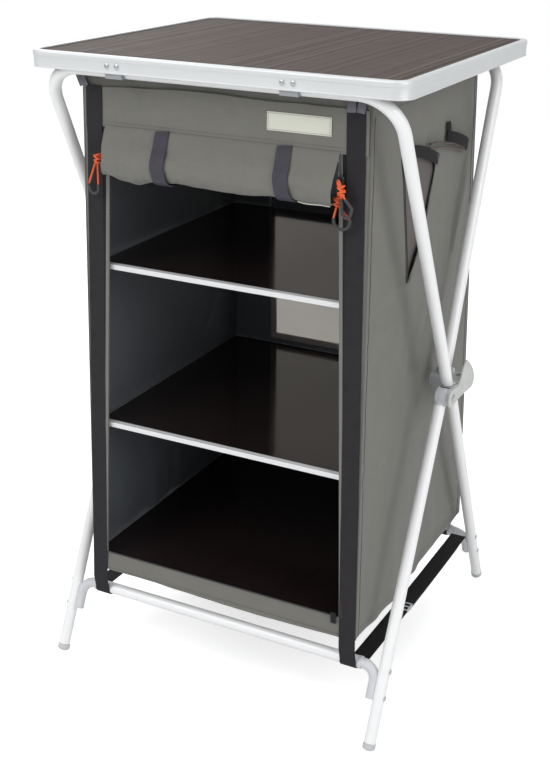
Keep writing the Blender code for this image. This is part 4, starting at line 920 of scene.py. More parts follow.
# %% Barrels
BARREL_EDGE = [(0.0, 0.0), (0.0136, 0.0), (0.0140, 0.0003), (0.0140, 0.0013), (0.0137, 0.0016),
               (0.0124, 0.0017), (0.0124, 0.0025), (0.0131, 0.0028), (0.0132, 0.0034)]
BARREL_NECK = [(0.0, 0.0), (0.0088, 0.0), (0.0088, 0.0070), (0.0102, 0.0082), (0.0102, 0.0143),
               (0.0, 0.0143)]
for end_name, end_sign, side_name, side in CORNERS:
    at, x = partial(place, end_sign, side), KNUCKLE[end_name]
    length = x["cheek"] - GAP - x["barrel"]
    body = BARREL_EDGE + [(radius, length - distance) for radius, distance in reversed(BARREL_EDGE)]
    shell = turned("shell", body, at(x["barrel"], KNEE), (side, 0, 0), "barrel", 48)
    neck = turned("neck", BARREL_NECK, at(TRACK[end_name], KNEE), at(0.0, LEG_WAY), "barrel")
    barrel = merged(f"{end_name}_knee_barrel_{side_name}", [shell, neck])
    keep(barrel, f"{end_name}_lower", "grey_plastic", f"{end_name}_barrel_{side_name}")

# %% Latches
LEAF = [(0.0150, 0.0430), (0.0240, 0.0380), (0.0370, 0.0280), (0.0530, 0.0090), (0.0555, -0.0010),
        (0.0510, -0.0100), (0.0300, -0.0125), (0.0080, -0.0112), (-0.0216, -0.0115), (-0.0500, -0.0138),
        (-0.0585, -0.0090), (-0.0605, 0.0015), (-0.0570, 0.0100), (-0.0480, 0.0135), (-0.0300, 0.0130),
        (-0.0130, 0.0142), (-0.0070, 0.0205), (-0.0020, 0.0290), (0.0060, 0.0380)]
LEAF_RINGS = ((-0.0225, 0.0005), (0.0010, 0.0050), (0.0275, 0.0086))
LEAF_RING = [(0.0, -0.0005), (0.0052, -0.0005), (0.0052, 0.0006), (0.0049, 0.0009), (0.0041, 0.0009),
             (0.0038, 0.0005), (0.0034, 0.0002), (0.0016, 0.0002), (0.0012, 0.0006), (0.0, 0.0006)]
JAW_OUT, JAW_IN, JAW_LIP = 0.0101, 0.0066, KNEE.y + 0.004
JAW_LINE = ([Vector((KNEE.x - JAW_OUT, JAW_LIP))] + arc(KNEE, JAW_OUT, 180, 360, 24)
            + [Vector((KNEE.x + JAW_OUT, JAW_LIP)), Vector((KNEE.x + JAW_IN, JAW_LIP))]
            + arc(KNEE, JAW_IN, 360, 180, 24) + [Vector((KNEE.x - JAW_IN, JAW_LIP))])
for side_name, side in SIDES.items():
    outline = [(y, KNEE.y + z) for y, z in LEAF]
    leaf = plate("leaf", outline, *span(side, *LATCH_X), "latch", 0.0008, curved=True)
    leaf = carve(leaf, rod_tool((side * 0.30, -KNEE.x, KNEE.y), (side * 0.32, -KNEE.x, KNEE.y), 0.0043))
    parts = [leaf, plate("jaw", JAW_LINE, *span(side, 0.2806, LATCH_X[0] + GAP), "latch", 0.0003)]
    for along_leaf, up in LEAF_RINGS:
        parts.append(turned("ring", LEAF_RING, (side * LATCH_X[1], along_leaf, KNEE.y + up), (side, 0, 0),
                            "latch", 28))
    rib = smooth_line([(side * LATCH_X[1], y * 0.86 + 0.0035, KNEE.y + z * 0.84 + 0.0012) for y, z in LEAF],
                      6, closed=True)
    parts.append(rope("rib", rib, 0.0006, "latch", 8, closed=True))
    latch = merged(f"latch_leaf_{side_name}", parts)
    keep(latch, f"latch_{side_name}", "latch_plastic", f"latch_{side_name}")
print("latch:", size_of(latch))

# %% Elbows
ELBOW_COLLAR = [(0.0, -0.004), (0.0095, -0.004), (0.0101, -0.0036), (0.0101, 0.0016), (0.0095, 0.0022),
                (0.0, 0.0022)]
for end_name, end_sign, side_name, side in CORNERS:
    at, track = partial(place, end_sign, side), TRACK[end_name]
    bar_end, arm = track - BAR_INSET, track - TUBE - 0.0040
    corners = [at(bar_end, BAR), at(arm, BAR), at(arm, BAR + LEG_WAY * 0.050)]
    bend = rope("bend", rounded_route(corners, 0.023), 0.0086, "elbow", 28)
    collar = turned("collar", ELBOW_COLLAR, at(bar_end + 0.004, BAR), (side, 0, 0), "elbow")
    carve(bend, rod_tool(at(track, BAR - LEG_WAY * 0.04), at(track, BAR + LEG_WAY * 0.10), TUBE + GAP))
    elbow = merged(f"{end_name}_elbow_moulding_{side_name}", [bend, collar])
    keep(elbow, f"{end_name}_lower", "grey_plastic", f"{end_name}_elbow_{side_name}")
    heads = [[at(track + TUBE - 0.0003, BAR + LEG_WAY * d) for d in (0.0020, 0.0446)]]
    bolts = repeat(f"{end_name}_elbow_rivets_{side_name}", heads, 0.0420, rivet_head, "steel", (side, 0, 0))
    keep(bolts, f"{end_name}_lower", "satin_aluminium")
print("elbow:", size_of(elbow))

# %% [markdown]
# ## The fabric body
# The cupboard is sewn from sheets: coated polyester outside and a slate lining inside. A sheet is a
# fine grid of points laid by a function, with its creases in the function, and a Solidify modifier
# gives it its thickness and the lining's finish. Folding the frames gathers it under the table.


def hang(piece, slot, *nodes, axis=(0, 0, 1), anchor=(0, 0, RAIL_LOW)):
    """Fastens cloth to the table."""
    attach(piece, "table")
    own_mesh(piece)
    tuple(axis)
    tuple(anchor)
    if nodes:
        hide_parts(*nodes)
    return piece


def cloth(name, columns, rows, lay, finish, inside=None, thick=CLOTH, facing=(0, -1, 0), skip=None):
    """A sheet laid over columns and rows. lay(a, b) gives a place and its flat place on the cut."""
    form = bmesh.new()
    flat = form.loops.layers.uv.new("flat")
    laid = [[lay(a, b) for a in columns] for b in rows]
    grid = [[form.verts.new(spot[0]) for spot in row] for row in laid]
    for j in range(len(rows) - 1):
        for i in range(len(columns) - 1):
            if skip and skip((columns[i] + columns[i + 1]) / 2, (rows[j] + rows[j + 1]) / 2):
                continue
            corners = ((j, i), (j, i + 1), (j + 1, i + 1), (j + 1, i))
            face = form.faces.new([grid[r][c] for r, c in corners])
            for loop, (r, c) in zip(face.loops, corners):
                loop[flat].uv = laid[r][c][1]
    bmesh.ops.delete(form, geom=[v for v in form.verts if not v.link_faces], context="VERTS")
    form.normal_update()
    total = sum((f.normal * f.calc_area() for f in form.faces[:len(columns) * 8]), Vector())
    if total.dot(Vector(facing)) < 0:
        bmesh.ops.reverse_faces(form, faces=form.faces)
    piece = from_form(name, form, finish, outwards=False)
    if inside:
        piece.data.materials.append(FINISH[inside])
    wall = piece.modifiers.new("thickness", "SOLIDIFY")
    wall.thickness, wall.offset, wall.use_even_offset = thick, -1.0, True
    wall.material_offset = 1 if inside else 0
    return settle(piece)


def ruck(a, b, size, seed, stretch=1.0):
    """Soft unevenness of -1 to 1 over a flat place."""
    return noise.noise(Vector((a / size, b / (size * stretch), seed)))


def crease(a, b, line, width):
    """1 on a crease between two flat places, fading to nothing over a width."""
    (a0, b0), (a1, b1) = line
    along = Vector((a1 - a0, b1 - b0))
    share = max(0.0, min(1.0, Vector((a - a0, b - b0)).dot(along) / along.length_squared))
    apart = math.hypot(a - a0 - along.x * share, b - b0 - along.y * share)
    return math.exp(-(apart / width) ** 2) * math.sin(math.pi * (0.12 + 0.76 * share)) ** 0.5


def rise(value, low, high):
    """0 below low, 1 above high, and a smooth step between."""
    share = max(0.0, min(1.0, (value - low) / (high - low)))
    return share * share * (3 - 2 * share)


# %% Side walls
SHELF_LINES = sorted(SHELF_Z.values())
# Each crease: y and z of its two ends, its width and its height.
SIDE_CREASES = {
    "right": [
        (-0.215, 0.660, -0.150, 0.640, 0.007, 0.0022), (-0.222, 0.640, -0.165, 0.606, 0.006, -0.0016),
        (-0.226, 0.450, -0.170, 0.420, 0.008, 0.002), (-0.228, 0.430, -0.150, 0.395, 0.007, -0.0015),
        (-0.213, 0.4245, -0.092, 0.428, 0.0028, -0.0016), (-0.214, 0.680, -0.118, 0.6825, 0.0028, -0.0016),
        (0.190, 0.800, 0.130, 0.690, 0.011, 0.0036), (0.206, 0.760, 0.165, 0.640, 0.009, -0.0032),
        (0.110, 0.720, 0.070, 0.610, 0.010, 0.003), (0.060, 0.700, 0.020, 0.600, 0.009, -0.0026),
        (0.020, 0.690, -0.020, 0.560, 0.010, 0.0018), (0.180, 0.975, 0.205, 0.880, 0.010, 0.0032),
        (0.150, 0.980, 0.172, 0.905, 0.009, -0.0026), (-0.0725, 0.688, -0.064, 0.560, 0.008, 0.0016)],
    "left": [
        (-0.215, 0.655, -0.150, 0.635, 0.007, 0.002), (-0.224, 0.450, -0.160, 0.415, 0.008, 0.002),
        (0.200, 0.800, 0.150, 0.690, 0.013, 0.0026), (0.180, 0.560, 0.120, 0.480, 0.012, 0.002),
        (-0.100, 0.900, -0.060, 0.780, 0.014, 0.0022), (0.050, 0.930, 0.020, 0.820, 0.012, -0.0018)],
}
SLIT = ((-0.104, 0.091), (-0.035, 0.113), (0.036, 0.139), (0.022, 0.176), (-0.006, 0.228), (-0.043, 0.268),
        (-0.0790, 0.297), (-0.0795, 0.276), (-0.083, 0.216), (-0.093, 0.150))
SLIT_LINE = smooth_line([(y, BODY_TOP - drop, 0.0) for y, drop in SLIT[2:7]], 6)
SLIT_FRONT = smooth_line([(y, BODY_TOP - drop, 0.0) for y, drop in SLIT[6:] + SLIT[:1]], 6)
BACK_TUCK = 0.0060
SIDE_HEM = (0.1636, 0.1505, 0.1545, 0.1510)


def tuck(y, z):
    """A side wall leans in a little towards its back edge."""
    depth = half_depth(z)
    return BACK_TUCK * rise((y + depth) / (2 * depth), 0.15, 1.0)


def side_hem(share):
    """The height of a side wall's hem: highest at the front corner, then a soft wave."""
    front, low, swell, rear = SIDE_HEM
    level = low + (front - low) * (1 - rise(share, 0.0, 0.28))
    level += (swell - low) * math.exp(-((share - 0.6) / 0.16) ** 2)
    wave = 0.0006 * math.sin(31 * share) * math.sin(math.pi * share)
    return level + (rear - low) * rise(share, 0.75, 1.0) + wave


def wall_out(side_name, share, y, z):
    """How far a side wall stands out from its plain shape: drawn in between shelves, slack below."""
    pull = 0.0
    levels = [SIDE_HEM[1]] + SHELF_LINES + [BODY_TOP]
    for low, high in zip(levels, levels[1:]):
        if low <= z <= high:
            pull = math.sin(math.pi * (z - low) / (high - low)) ** 2
    middle = math.sin(math.pi * share) ** 0.6
    seed = 3.0 if side_name == "right" else 11.0
    out = -0.0024 * pull * middle
    slack = 1 - rise(z, 0.15, 0.42)
    out += middle * slack * (0.0020 * ruck(y, z, 0.030, seed, 9.0) + 0.0011 * math.sin(70 * y + 9 * z))
    gather = math.exp(-(share * 0.45 / 0.022)) + 0.7 * math.exp(-((1 - share) * 0.45 / 0.022))
    out += 0.0020 * gather * ruck(y, z, 0.007, seed + 1, 14.0) * min(1.0, 14 * share * (1 - share) * 4)
    out += middle * (0.0022 * ruck(y, z, 0.11, seed + 2, 1.6) + 0.0010 * ruck(y, z, 0.035, seed + 4, 2.2)
                     + 0.0003 * ruck(y, z, 0.011, seed + 5))
    for y0, z0, y1, z1, width, height in SIDE_CREASES[side_name]:
        out += height * crease(y, z, ((y0, z0), (y1, z1)), width)
    out += 0.0012 * middle * sum(math.exp(-((z - level) / 0.006) ** 2) for level in SHELF_LINES)
    return out


def side_lay(side_name):
    side = SIDES[side_name]

    def lay(share, height):
        hem = side_hem(share)
        z = hem + (CLOTH_TOP - hem) * height
        depth = half_depth(z) + CLOTH_STAND
        y = -depth + 2 * depth * share
        out = wall_out(side_name, share, y, z) * min(1.0, (CLOTH_TOP - z) / 0.03)
        if side_name == "right":
            out += slit_lift(y, z)
        return Vector((side * (half_width(z) + CLOTH_STAND - tuck(y, z) + out), y, z)), (y, z)

    return lay


def slit_lift(y, z):
    """The cloth beside the slit lifts off the wall, most of all on the rear flap."""
    rear = min(math.hypot(y - p.x, z - p.y) for p in SLIT_LINE)
    front = min(math.hypot(y - p.x, z - p.y) for p in SLIT_FRONT)
    fade = rise(z, 0.675, 0.74) * (1 - rise(z, 0.845, 0.875))
    return 0.0026 * math.exp(-rear / 0.020) * fade + 0.0015 * math.exp(-front / 0.012) * fade


side_walls = {}
for side_name, side in SIDES.items():
    wall = cloth(f"side_cloth_{side_name}", shares(88), shares(150),
                 side_lay(side_name), "cloth", "lining", facing=(side, 0, 0))
    side_walls[side_name] = wall
slit_tool = plate("slit_tool", [(y, BODY_TOP - drop) for y, drop in SLIT], 0.215, 0.262, "cloth",
                  curved=True)
carve(side_walls["right"], slit_tool)
for side_name, wall in side_walls.items():
    hang(wall, "grey_olive_fabric", f"side_wall_{side_name}")
print("side walls:", [len(w.data.polygons) for w in side_walls.values()])


# %% The layer behind the slit
def pocket_lay(a, b):
    y, z = -0.135 + 0.185 * a, 0.665 + 0.255 * b
    sag = 0.0018 * math.sin(math.pi * a) * math.sin(math.pi * b) + 0.0016 * ruck(y, z, 0.04, 21.0)
    return Vector((half_width(z) - tuck(y, z) - 0.0042 - sag, y, z)), (y, z)


# The inner layer's finish is the wall cloth painted darker, as painted shade behind the slit.
pocket = cloth("slit_inner_layer", shares(30), shares(40), pocket_lay, "pocket",
               "lining", facing=(1, 0, 0))
hang(pocket, "slate_lining")

# %% Front: band, strips beside the opening and sill
BINDING_INSET = 0.0034
FRONT_MARKS = ([-2 + i / 6 for i in range(6)] + [-1 + i / 30 for i in range(60)]
               + [1 + i / 6 for i in range(7)])
FRONT_LEVELS = (steps_between(FRONT_HEM, OPENING_LOW, 6) + steps_between(OPENING_LOW, OPENING_TOP, 120)[1:]
                + steps_between(OPENING_TOP, CLOTH_TOP, 16)[1:])


def front_x(mark, z):
    """Marks -1 to 1 span the opening, and marks of 2 lie on the corner seams."""
    opening = opening_half(min(max(z, OPENING_LOW), OPENING_TOP)) + BINDING_INSET
    beyond = max(abs(mark) - 1, 0.0)
    return math.copysign(opening * min(abs(mark), 1.0) + beyond * (half_width(z) - 0.0004 - opening), mark)


def front_lay(mark, z):
    x = front_x(mark, z)
    out = 0.0008 * ruck(x, z, 0.05, 31.0) + 0.0004 * ruck(x, z, 0.016, 32.0)
    if z < OPENING_LOW + 0.002:
        droop = 0.0024 * math.sin(2.6 * mark + 0.8) * (1 - rise(z, FRONT_HEM, OPENING_LOW))
        out += 0.0012 * ruck(x, z, 0.03, 33.0)
        return Vector((x, -(half_depth(z) + CLOTH_STAND + out), z - droop)), (x, z)
    return Vector((x, -(half_depth(z) + CLOTH_STAND + out * (0.4 if z > OPENING_TOP else 1.0)), z)), (x, z)


front = cloth("front_cloth", FRONT_MARKS, FRONT_LEVELS, front_lay, "cloth", "lining",
              skip=lambda mark, z: abs(mark) < 1 and OPENING_LOW < z < OPENING_TOP)
hang(front, "grey_olive_fabric", "front_panel")
print("front:", len(front.data.polygons), "faces")

# %% Valance over the opening
VALANCE_TOP, VALANCE_LOW = 0.9735, 0.9142


def valance_top(x):
    """The valance's upper edge stands higher in the middle and at the right."""
    return (VALANCE_TOP + 0.0045 * math.exp(-((x + 0.03) / 0.09) ** 2) + 0.0020 * rise(x, 0.05, 0.15)
            - 0.0020 * rise(-x, 0.15, 0.20) + 0.0008 * ruck(x, 0.3, 0.05, 44.0))


def valance_out(x, z):
    """The valance stands a little off the band, with soft waves along its top edge."""
    wave = 0.0010 * ruck(x, z, 0.045, 41.0, 3.0) + 0.0005 * ruck(x, z, 0.018, 42.0)
    lift = 0.0008 * rise(z, 0.955, VALANCE_TOP) * (1 + ruck(x, 0.0, 0.06, 43.0))
    tug = 0.0012 * (crease(x, z, ((0.002, 0.960), (0.073, 0.927)), 0.006)
                    - crease(x, z, ((0.012, 0.946), (0.066, 0.921)), 0.005))
    return 0.0022 + wave + lift + tug


def valance_lay(a, b):
    z = VALANCE_LOW + (VALANCE_TOP - VALANCE_LOW) * b
    x = (half_width(z) - 0.002) * (2 * a - 1)
    z += (valance_top(x) - VALANCE_TOP) * b
    return Vector((x, -(half_depth(z) + CLOTH_STAND + valance_out(x, z)), z)), (x, z)


valance = cloth("front_valance", shares(96), shares(14), valance_lay, "cloth")
hang(valance, "grey_olive_fabric")

# %% Back wall and its window
WINDOW_HALF, WINDOW_LOW, WINDOW_TOP = 0.147, 0.448, 0.900
BACK_MARKS = ([-2 + i / 14 for i in range(14)] + [-1 + i / 26 for i in range(52)]
              + [1 + i / 14 for i in range(15)])
BACK_LEVELS = (steps_between(BACK_HEM, WINDOW_LOW, 48) + steps_between(WINDOW_LOW, WINDOW_TOP, 78)[1:]
               + steps_between(WINDOW_TOP, CLOTH_TOP, 20)[1:])


def back_lay(mark, z):
    beyond = max(abs(mark) - 1, 0.0)
    reach = half_width(z) - BACK_TUCK - 0.0004 - WINDOW_HALF
    x = math.copysign(WINDOW_HALF * min(abs(mark), 1.0) + beyond * reach, mark)
    middle = (1 - (mark / 2) ** 2)
    out = middle * (0.0018 * ruck(x, z, 0.09, 51.0, 1.8) + 0.0008 * ruck(x, z, 0.03, 52.0, 2.5))
    edge = 2 - abs(mark)
    out += 0.0016 * ruck(x, z, 0.012, 53.0, 12.0) * math.exp(-edge / 0.25) * min(1, edge * 8)
    out += 0.0014 * middle * math.sin(60 * x + 7 * z) * (1 - rise(z, 0.17, 0.33))
    droop = 0.0020 * math.sin(2.2 * mark) if z < BACK_HEM + 0.001 else 0.0
    return Vector((x, half_depth(z) + CLOTH_STAND + out, z + droop)), (x, z)


back = cloth("back_cloth", BACK_MARKS, BACK_LEVELS, back_lay, "cloth", "lining", facing=(0, 1, 0),
             skip=lambda mark, z: abs(mark) < 1 and WINDOW_LOW < z < WINDOW_TOP)
hang(back, "slate_lining", "back_wall")


def window_lay(a, b):
    x = (WINDOW_HALF + 0.009) * (2 * a - 1)
    z = WINDOW_LOW - 0.009 + (WINDOW_TOP - WINDOW_LOW + 0.018) * b
    edge = math.sin(math.pi * a) * math.sin(math.pi * b)
    fold = crease(x, z, ((-0.140, 0.560), (-0.118, 0.500)), 0.004)
    sag = edge * (0.0016 * ruck(x, z, 0.07, 61.0, 2.0) + 0.0010 * fold)
    return Vector((x, half_depth(z) - 0.0036 + sag, z)), (x, z)


window = cloth("back_window_cloth", shares(50), shares(70), window_lay, "window",
               thick=0.0006, facing=(0, 1, 0))
hang(window, "window_mesh", "back_window")


def pocket_tape_lay(a, b):
    x, z = -0.150 + 0.300 * a, 0.689 + 0.028 * b
    return Vector((x, half_depth(z) - 0.0060 + 0.0008 * ruck(x, z, 0.03, 63.0), z)), (x, z)


tape = cloth("shelf_pocket_tape", shares(40), shares(6), pocket_tape_lay, "lining",
             thick=0.0008)
hang(tape, "slate_lining")
print("window:", size_of(window))

# %% [markdown]
# ## Rolled door
# The door is one sheet rolled up from its foot. Its section is a real spiral of nearly four turns,
# flattened by its own weight, so the ends show the turns; the ties squeeze it and crease it.

# %% Roll
ROLL_HALF = 0.185
INNER_SHORTER = 0.0115
ROLL_TURNS, ROLL_TIGHTENING = 3.7, 0.165
ROLL_OUTLINE = ((0.0030, 0.9165), (0.0120, 0.9040), (0.0235, 0.8900), (0.0322, 0.8755), (0.0352, 0.8625),
                (0.0310, 0.8510), (0.0220, 0.8455), (0.0130, 0.8450), (0.0062, 0.8500), (0.0038, 0.8620),
                (0.0034, 0.8820), (0.0030, 0.9025))
ROLL_LOOP = smooth_line([(half_depth(z) + out, z, 0.0) for out, z in ROLL_OUTLINE], 12, closed=True)
ROLL_HEART = Vector((half_depth(0.868) + 0.0185, 0.868))
TIES = {"left": -0.082, "right": 0.117}


def roll_squeeze(x):
    return sum(math.exp(-((x - tie) / 0.018) ** 2) for tie in TIES.values())


def roll_ruck(x, share):
    """Creases of the roll: long soft ones along it, and short ones that run off the ties."""
    round_it = Vector((math.cos(2 * math.pi * share), math.sin(2 * math.pi * share), 0.0))
    soft = noise.noise(Vector((x / 0.075, round_it.x * 0.9, round_it.y * 0.9 + 70.0)))
    fine = noise.noise(Vector((x / 0.022, round_it.x * 2.4, round_it.y * 2.4 + 80.0)))
    upright = noise.noise(Vector((x / 0.011, share * 3.0, 90.0))) * rise(-x, 0.085, 0.13)
    fan = sum(math.exp(-((x - tie) / 0.030) ** 2) * math.sin(30 * share + 60 * abs(x - tie))
              for tie in TIES.values())
    low = math.exp(-((share - 0.52) / 0.16) ** 2)
    sag = 0.0078 * math.exp(-((x + 0.138) / 0.030) ** 2) + 0.0016 * math.exp(-((x - 0.02) / 0.06) ** 2)
    return 0.0034 * soft + 0.0016 * fine + 0.0015 * fan + 0.0020 * upright + sag * low


def roll_place(x, turn):
    """A place on the roll after a number of turns from the seam, as v and z."""
    share = turn % 1.0
    step = share * len(ROLL_LOOP)
    first = ROLL_LOOP[int(step) % len(ROLL_LOOP)]
    after = ROLL_LOOP[(int(step) + 1) % len(ROLL_LOOP)]
    edge = first.lerp(after, step - int(step)).to_2d()
    size = 1 - ROLL_TIGHTENING * turn
    away = (edge - ROLL_HEART) * size
    lead = rise(turn, 0.0, 0.10)
    pinch = 0.11 * roll_squeeze(x) + 0.05 * rise(abs(x), 0.165, ROLL_HALF)
    away.x *= 1 - pinch * lead * (1 if turn < 1 else 0.6)
    out = roll_ruck(x, share) * lead * (1.0 if turn < 0.75 else 0.5)
    spot = ROLL_HEART + away + away.normalized() * out
    return spot.x, spot.y


ROLL_CUTS = steps_between(0, ROLL_TURNS, 190)
ROLL_LENGTHS = [0.0]
for before, after in zip(ROLL_CUTS, ROLL_CUTS[1:]):
    a, b = Vector(roll_place(0.02, before)), Vector(roll_place(0.02, after))
    ROLL_LENGTHS.append(ROLL_LENGTHS[-1] + (b - a).length)
LENGTH_AT = dict(zip(ROLL_CUTS, ROLL_LENGTHS))


def roll_reach(side, turn):
    """Half the roll's length to a side: the outer flap is a little longer than the turns inside it,
    and on the right the first turn's back reaches out to the binding as well."""
    inner = INNER_SHORTER * rise(turn, 0.45, 0.62)
    inner += 0.0010 * (1 + math.sin(4.1 * turn + 1.0)) * rise(turn, 0.62, 1.0)
    if side < 0:
        return ROLL_HALF - 0.0022 + 0.0105 * (1 - rise(turn, 0.0, 0.35)) - inner
    back = INNER_SHORTER * rise(turn, 0.57, 0.63) * (1 - rise(turn, 0.95, 0.985))
    return ROLL_HALF + 0.0048 - inner + back


def roll_lay(a, turn):
    x = roll_reach(a, turn) * a
    v, z = roll_place(x, turn)
    return Vector((x, -v, z)), (x, LENGTH_AT[turn])


roll = cloth("door_roll_cloth", both_ways(1, 110), ROLL_CUTS, roll_lay, "cloth", "lining",
             thick=0.0010)
hang(roll, "grey_olive_fabric", "door_roll")
print("roll:", round(ROLL_LENGTHS[-1], 3), "m of cloth,", len(roll.data.polygons), "faces")

# %% The door's pale binding under the roll
edge_line = []
for x in steps_between(0.100, 0.183, 30):
    v, z = roll_place(x, 0.56)
    edge_line.append(Vector((x, -v - 0.0006, z - 0.0012)))
edge = rope("roll_pale_binding", edge_line, 0.0012, "cream", 10)
hang(edge, "grey_olive_fabric")

# %% [markdown]
# ## Webbing
# A strap is a thin flat section swept along its own route, with a soft edge and its length and width
# on a flat map for the chevron weave. The corner straps carry the whole cupboard: they are sewn to it
# at the top, run down its corners and turn round the bottom bars.

# %% Ribbons
RIBBON_UPPER = [(-1.0, 0.30), (-0.97, 0.86), (-0.5, 1.0), (0.0, 1.0), (0.5, 1.0), (0.97, 0.86), (1.0, 0.30)]
RIBBON_SECTION = RIBBON_UPPER + [(a, -t) for a, t in reversed(RIBBON_UPPER)]


def ribbon(name, route, ways, width, thick, finish, bow=0.0):
    """Flat webbing along a route. ways is the way of its width, one for all or one for each place."""
    route = [Vector(p) for p in route]
    ways = [Vector(ways)] * len(route) if isinstance(ways, (tuple, Vector)) else [Vector(w) for w in ways]
    form = bmesh.new()
    flat = form.loops.layers.uv.new("flat")
    rings, places, run = [], {}, 0.0
    for i, point in enumerate(route):
        run += (point - route[i - 1]).length if i else 0.0
        tangent = (route[min(i + 1, len(route) - 1)] - route[max(i - 1, 0)]).normalized()
        way = (ways[i] - tangent * ways[i].dot(tangent)).normalized()
        proud = way.cross(tangent)
        rings.append([point + way * (a * width / 2) + proud * (t * thick / 2 + bow * (1 - a * a))
                      for a, t in RIBBON_SECTION])
        places[i] = [(a * width / 2, run) for a, t in RIBBON_SECTION]
    made = loft(form, rings, closed=False)
    spot = {vert: places[i][k] for i, ring in enumerate(made) for k, vert in enumerate(ring)}
    for face in form.faces:
        for loop in face.loops:
            loop[flat].uv = spot[loop.vert]
    return from_form(name, form, finish)


# %% Corner straps
STRAP_WIDE, WEB_THICK = 0.028, 0.0014
STRAP_LOW = {"front": 0.2325, "back": 0.2115}
STRAP_TOP_X = 0.211
HEM_STRAP = 0.142


def strap_x(end_name, z):
    share = min(max((BODY_TOP - z) / (BODY_TOP - BAR.y), 0.0), 1.0)
    return STRAP_TOP_X + (STRAP_LOW[end_name] - STRAP_TOP_X) * share


def hang_strap(strap, end_sign, *nodes):
    """Hangs a strap that runs along the body's sloping front or back."""
    return hang(strap, "charcoal_webbing", *nodes, axis=(0, end_sign * 0.107, 0.994),
                anchor=(0, end_sign * half_depth(RAIL_LOW), RAIL_LOW))


def strap_stand(end_name, z):
    """A corner strap's distance off the body: over the valance in front, close to the cloth below it."""
    over = 0.0019 * (rise(z, 0.900, 0.914) if end_name == "front" else 0.0)
    return half_depth(z) + 0.0021 + over


for end_name, end_sign, side_name, side in CORNERS:
    seed = 90.0 + 7 * side + end_sign
    fall = [Vector((strap_stand(end_name, z) + 0.0005 * ruck(z, 0.0, 0.06, seed), z))
            for z in steps_between(VALANCE_TOP, HEM_STRAP, 70)]
    wrap = arc(BAR, TUBE + 0.0006 + WEB_THICK / 2, 14, -200, 40)
    route = [(side * strap_x(end_name, z), end_sign * v, z) for v, z in fall + wrap]
    strap = ribbon(f"corner_strap_{end_name}_{side_name}", route, (1, 0, 0), STRAP_WIDE, WEB_THICK,
                   "webbing")
    hang_strap(strap, end_sign, f"strap_{end_name}_{side_name}")
print("corner straps:", len(strap.data.polygons), "faces each")

# %% Tape tabs that hang the straps from the table
TAB_LOW = 0.9715
TAB_LEANS = {1: ((0.0070, 0.0108, 0.0120), (-0.0060, -0.0092, 0.0132)),
             -1: ((0.0195, 0.0400, 0.0085), (0.0125, 0.0335, 0.0085))}
for end_name, end_sign, side_name, side in CORNERS:
    for layer, (low_lean, high_lean, width) in enumerate(TAB_LEANS[side]):
        route = []
        for t in shares(14):
            z = TAB_LOW + (BOARD_LOW - 0.0012 - TAB_LOW) * t
            v = strap_stand(end_name, TAB_LOW) + 0.0012 + 0.0007 * layer - 0.0022 * rise(t, 0.0, 0.6)
            x = strap_x(end_name, TAB_LOW) + low_lean + (high_lean - low_lean) * t
            route.append((side * x, end_sign * v, z))
        tab = ribbon(f"hanging_tape_{end_name}_{side_name}_{'inner' if layer else 'outer'}", route,
                     (1, 0, 0), width, 0.0010, "tab_tape")
        hang(tab, "charcoal_webbing")

# %% Bottom straps
BOTTOM_X, BOTTOM_WIDE = {"front": 0.2450, "back": 0.2495}, 0.0285
BAR_EDGE = BAR.x - TUBE - 0.0026


def bottom_place(side, y, drop=0.0):
    """The middle of a bottom strap at a place between the bars, sagging a little."""
    share = (y + BAR_EDGE) / (2 * BAR_EDGE)
    x = BOTTOM_X["front"] + (BOTTOM_X["back"] - BOTTOM_X["front"]) * share
    return Vector((side * x, y, BAR.y - 0.003 * math.sin(math.pi * share) - drop))


for side_name, side in SIDES.items():
    halves = {"front": [bottom_place(side, y) for y in steps_between(-BAR_EDGE, 0.175, 60)],
              "back": [bottom_place(side, y, 0.0018 * rise(-y, -0.19, -0.17) + 0.0002)
                       for y in steps_between(BAR_EDGE, -0.060, 50)]}
    for end_name, route in halves.items():
        half = ribbon(f"bottom_strap_{end_name}_{side_name}", route, (1, 0, 0), BOTTOM_WIDE, WEB_THICK,
                      "black_webbing")
        hang_strap(half, ENDS[end_name], *([f"bottom_strap_{side_name}"] if end_name == "front" else []))
print("bottom strap:", size_of(half))


# %% Ladder buckles
def rounded_bar(name, low, high, edge, finish):
    """A bar between two corners with rounded edges."""
    form = bmesh.new()
    bmesh.ops.create_cube(form, size=1.0)
    middle = (Vector(low) + Vector(high)) / 2
    for vert in form.verts:
        vert.co = Vector(c * (h - l) for c, h, l in zip(vert.co, high, low)) + middle
    bmesh.ops.bevel(form, geom=form.edges[:], offset=edge, segments=3, affect="EDGES", profile=0.5)
    return from_form(name, form, finish)


BUCKLE_WIDE, BUCKLE_DEEP, BUCKLE_TALL = 0.0142, 0.012, 0.0026
for side_name, side in SIDES.items():
    middle = bottom_place(side, -0.050)
    bars = []
    for sign in (-1, 1):
        low_x, high_x = span(sign, BUCKLE_WIDE - 0.0030, BUCKLE_WIDE)
        bars.append(rounded_bar("cheek", middle + Vector((low_x, -BUCKLE_DEEP, -BUCKLE_TALL)),
                                middle + Vector((high_x, BUCKLE_DEEP, BUCKLE_TALL)), 0.0010, "foot"))
    rung = BUCKLE_WIDE - 0.001
    for offset, half_bar in ((-0.0105, 0.0015), (0.0, 0.0018), (0.0105, 0.0015)):
        for z_low, z_high in ((0.0013, BUCKLE_TALL), (-BUCKLE_TALL, -0.0013)):
            bars.append(rounded_bar("rung", middle + Vector((-rung, offset - half_bar, z_low)),
                                    middle + Vector((rung, offset + half_bar, z_high)), 0.0005, "foot"))
    buckle = merged(f"ladder_buckle_{side_name}", bars)
    keep(buckle, "strap_adjusters", "grey_plastic", f"strap_adjuster_{side_name}")
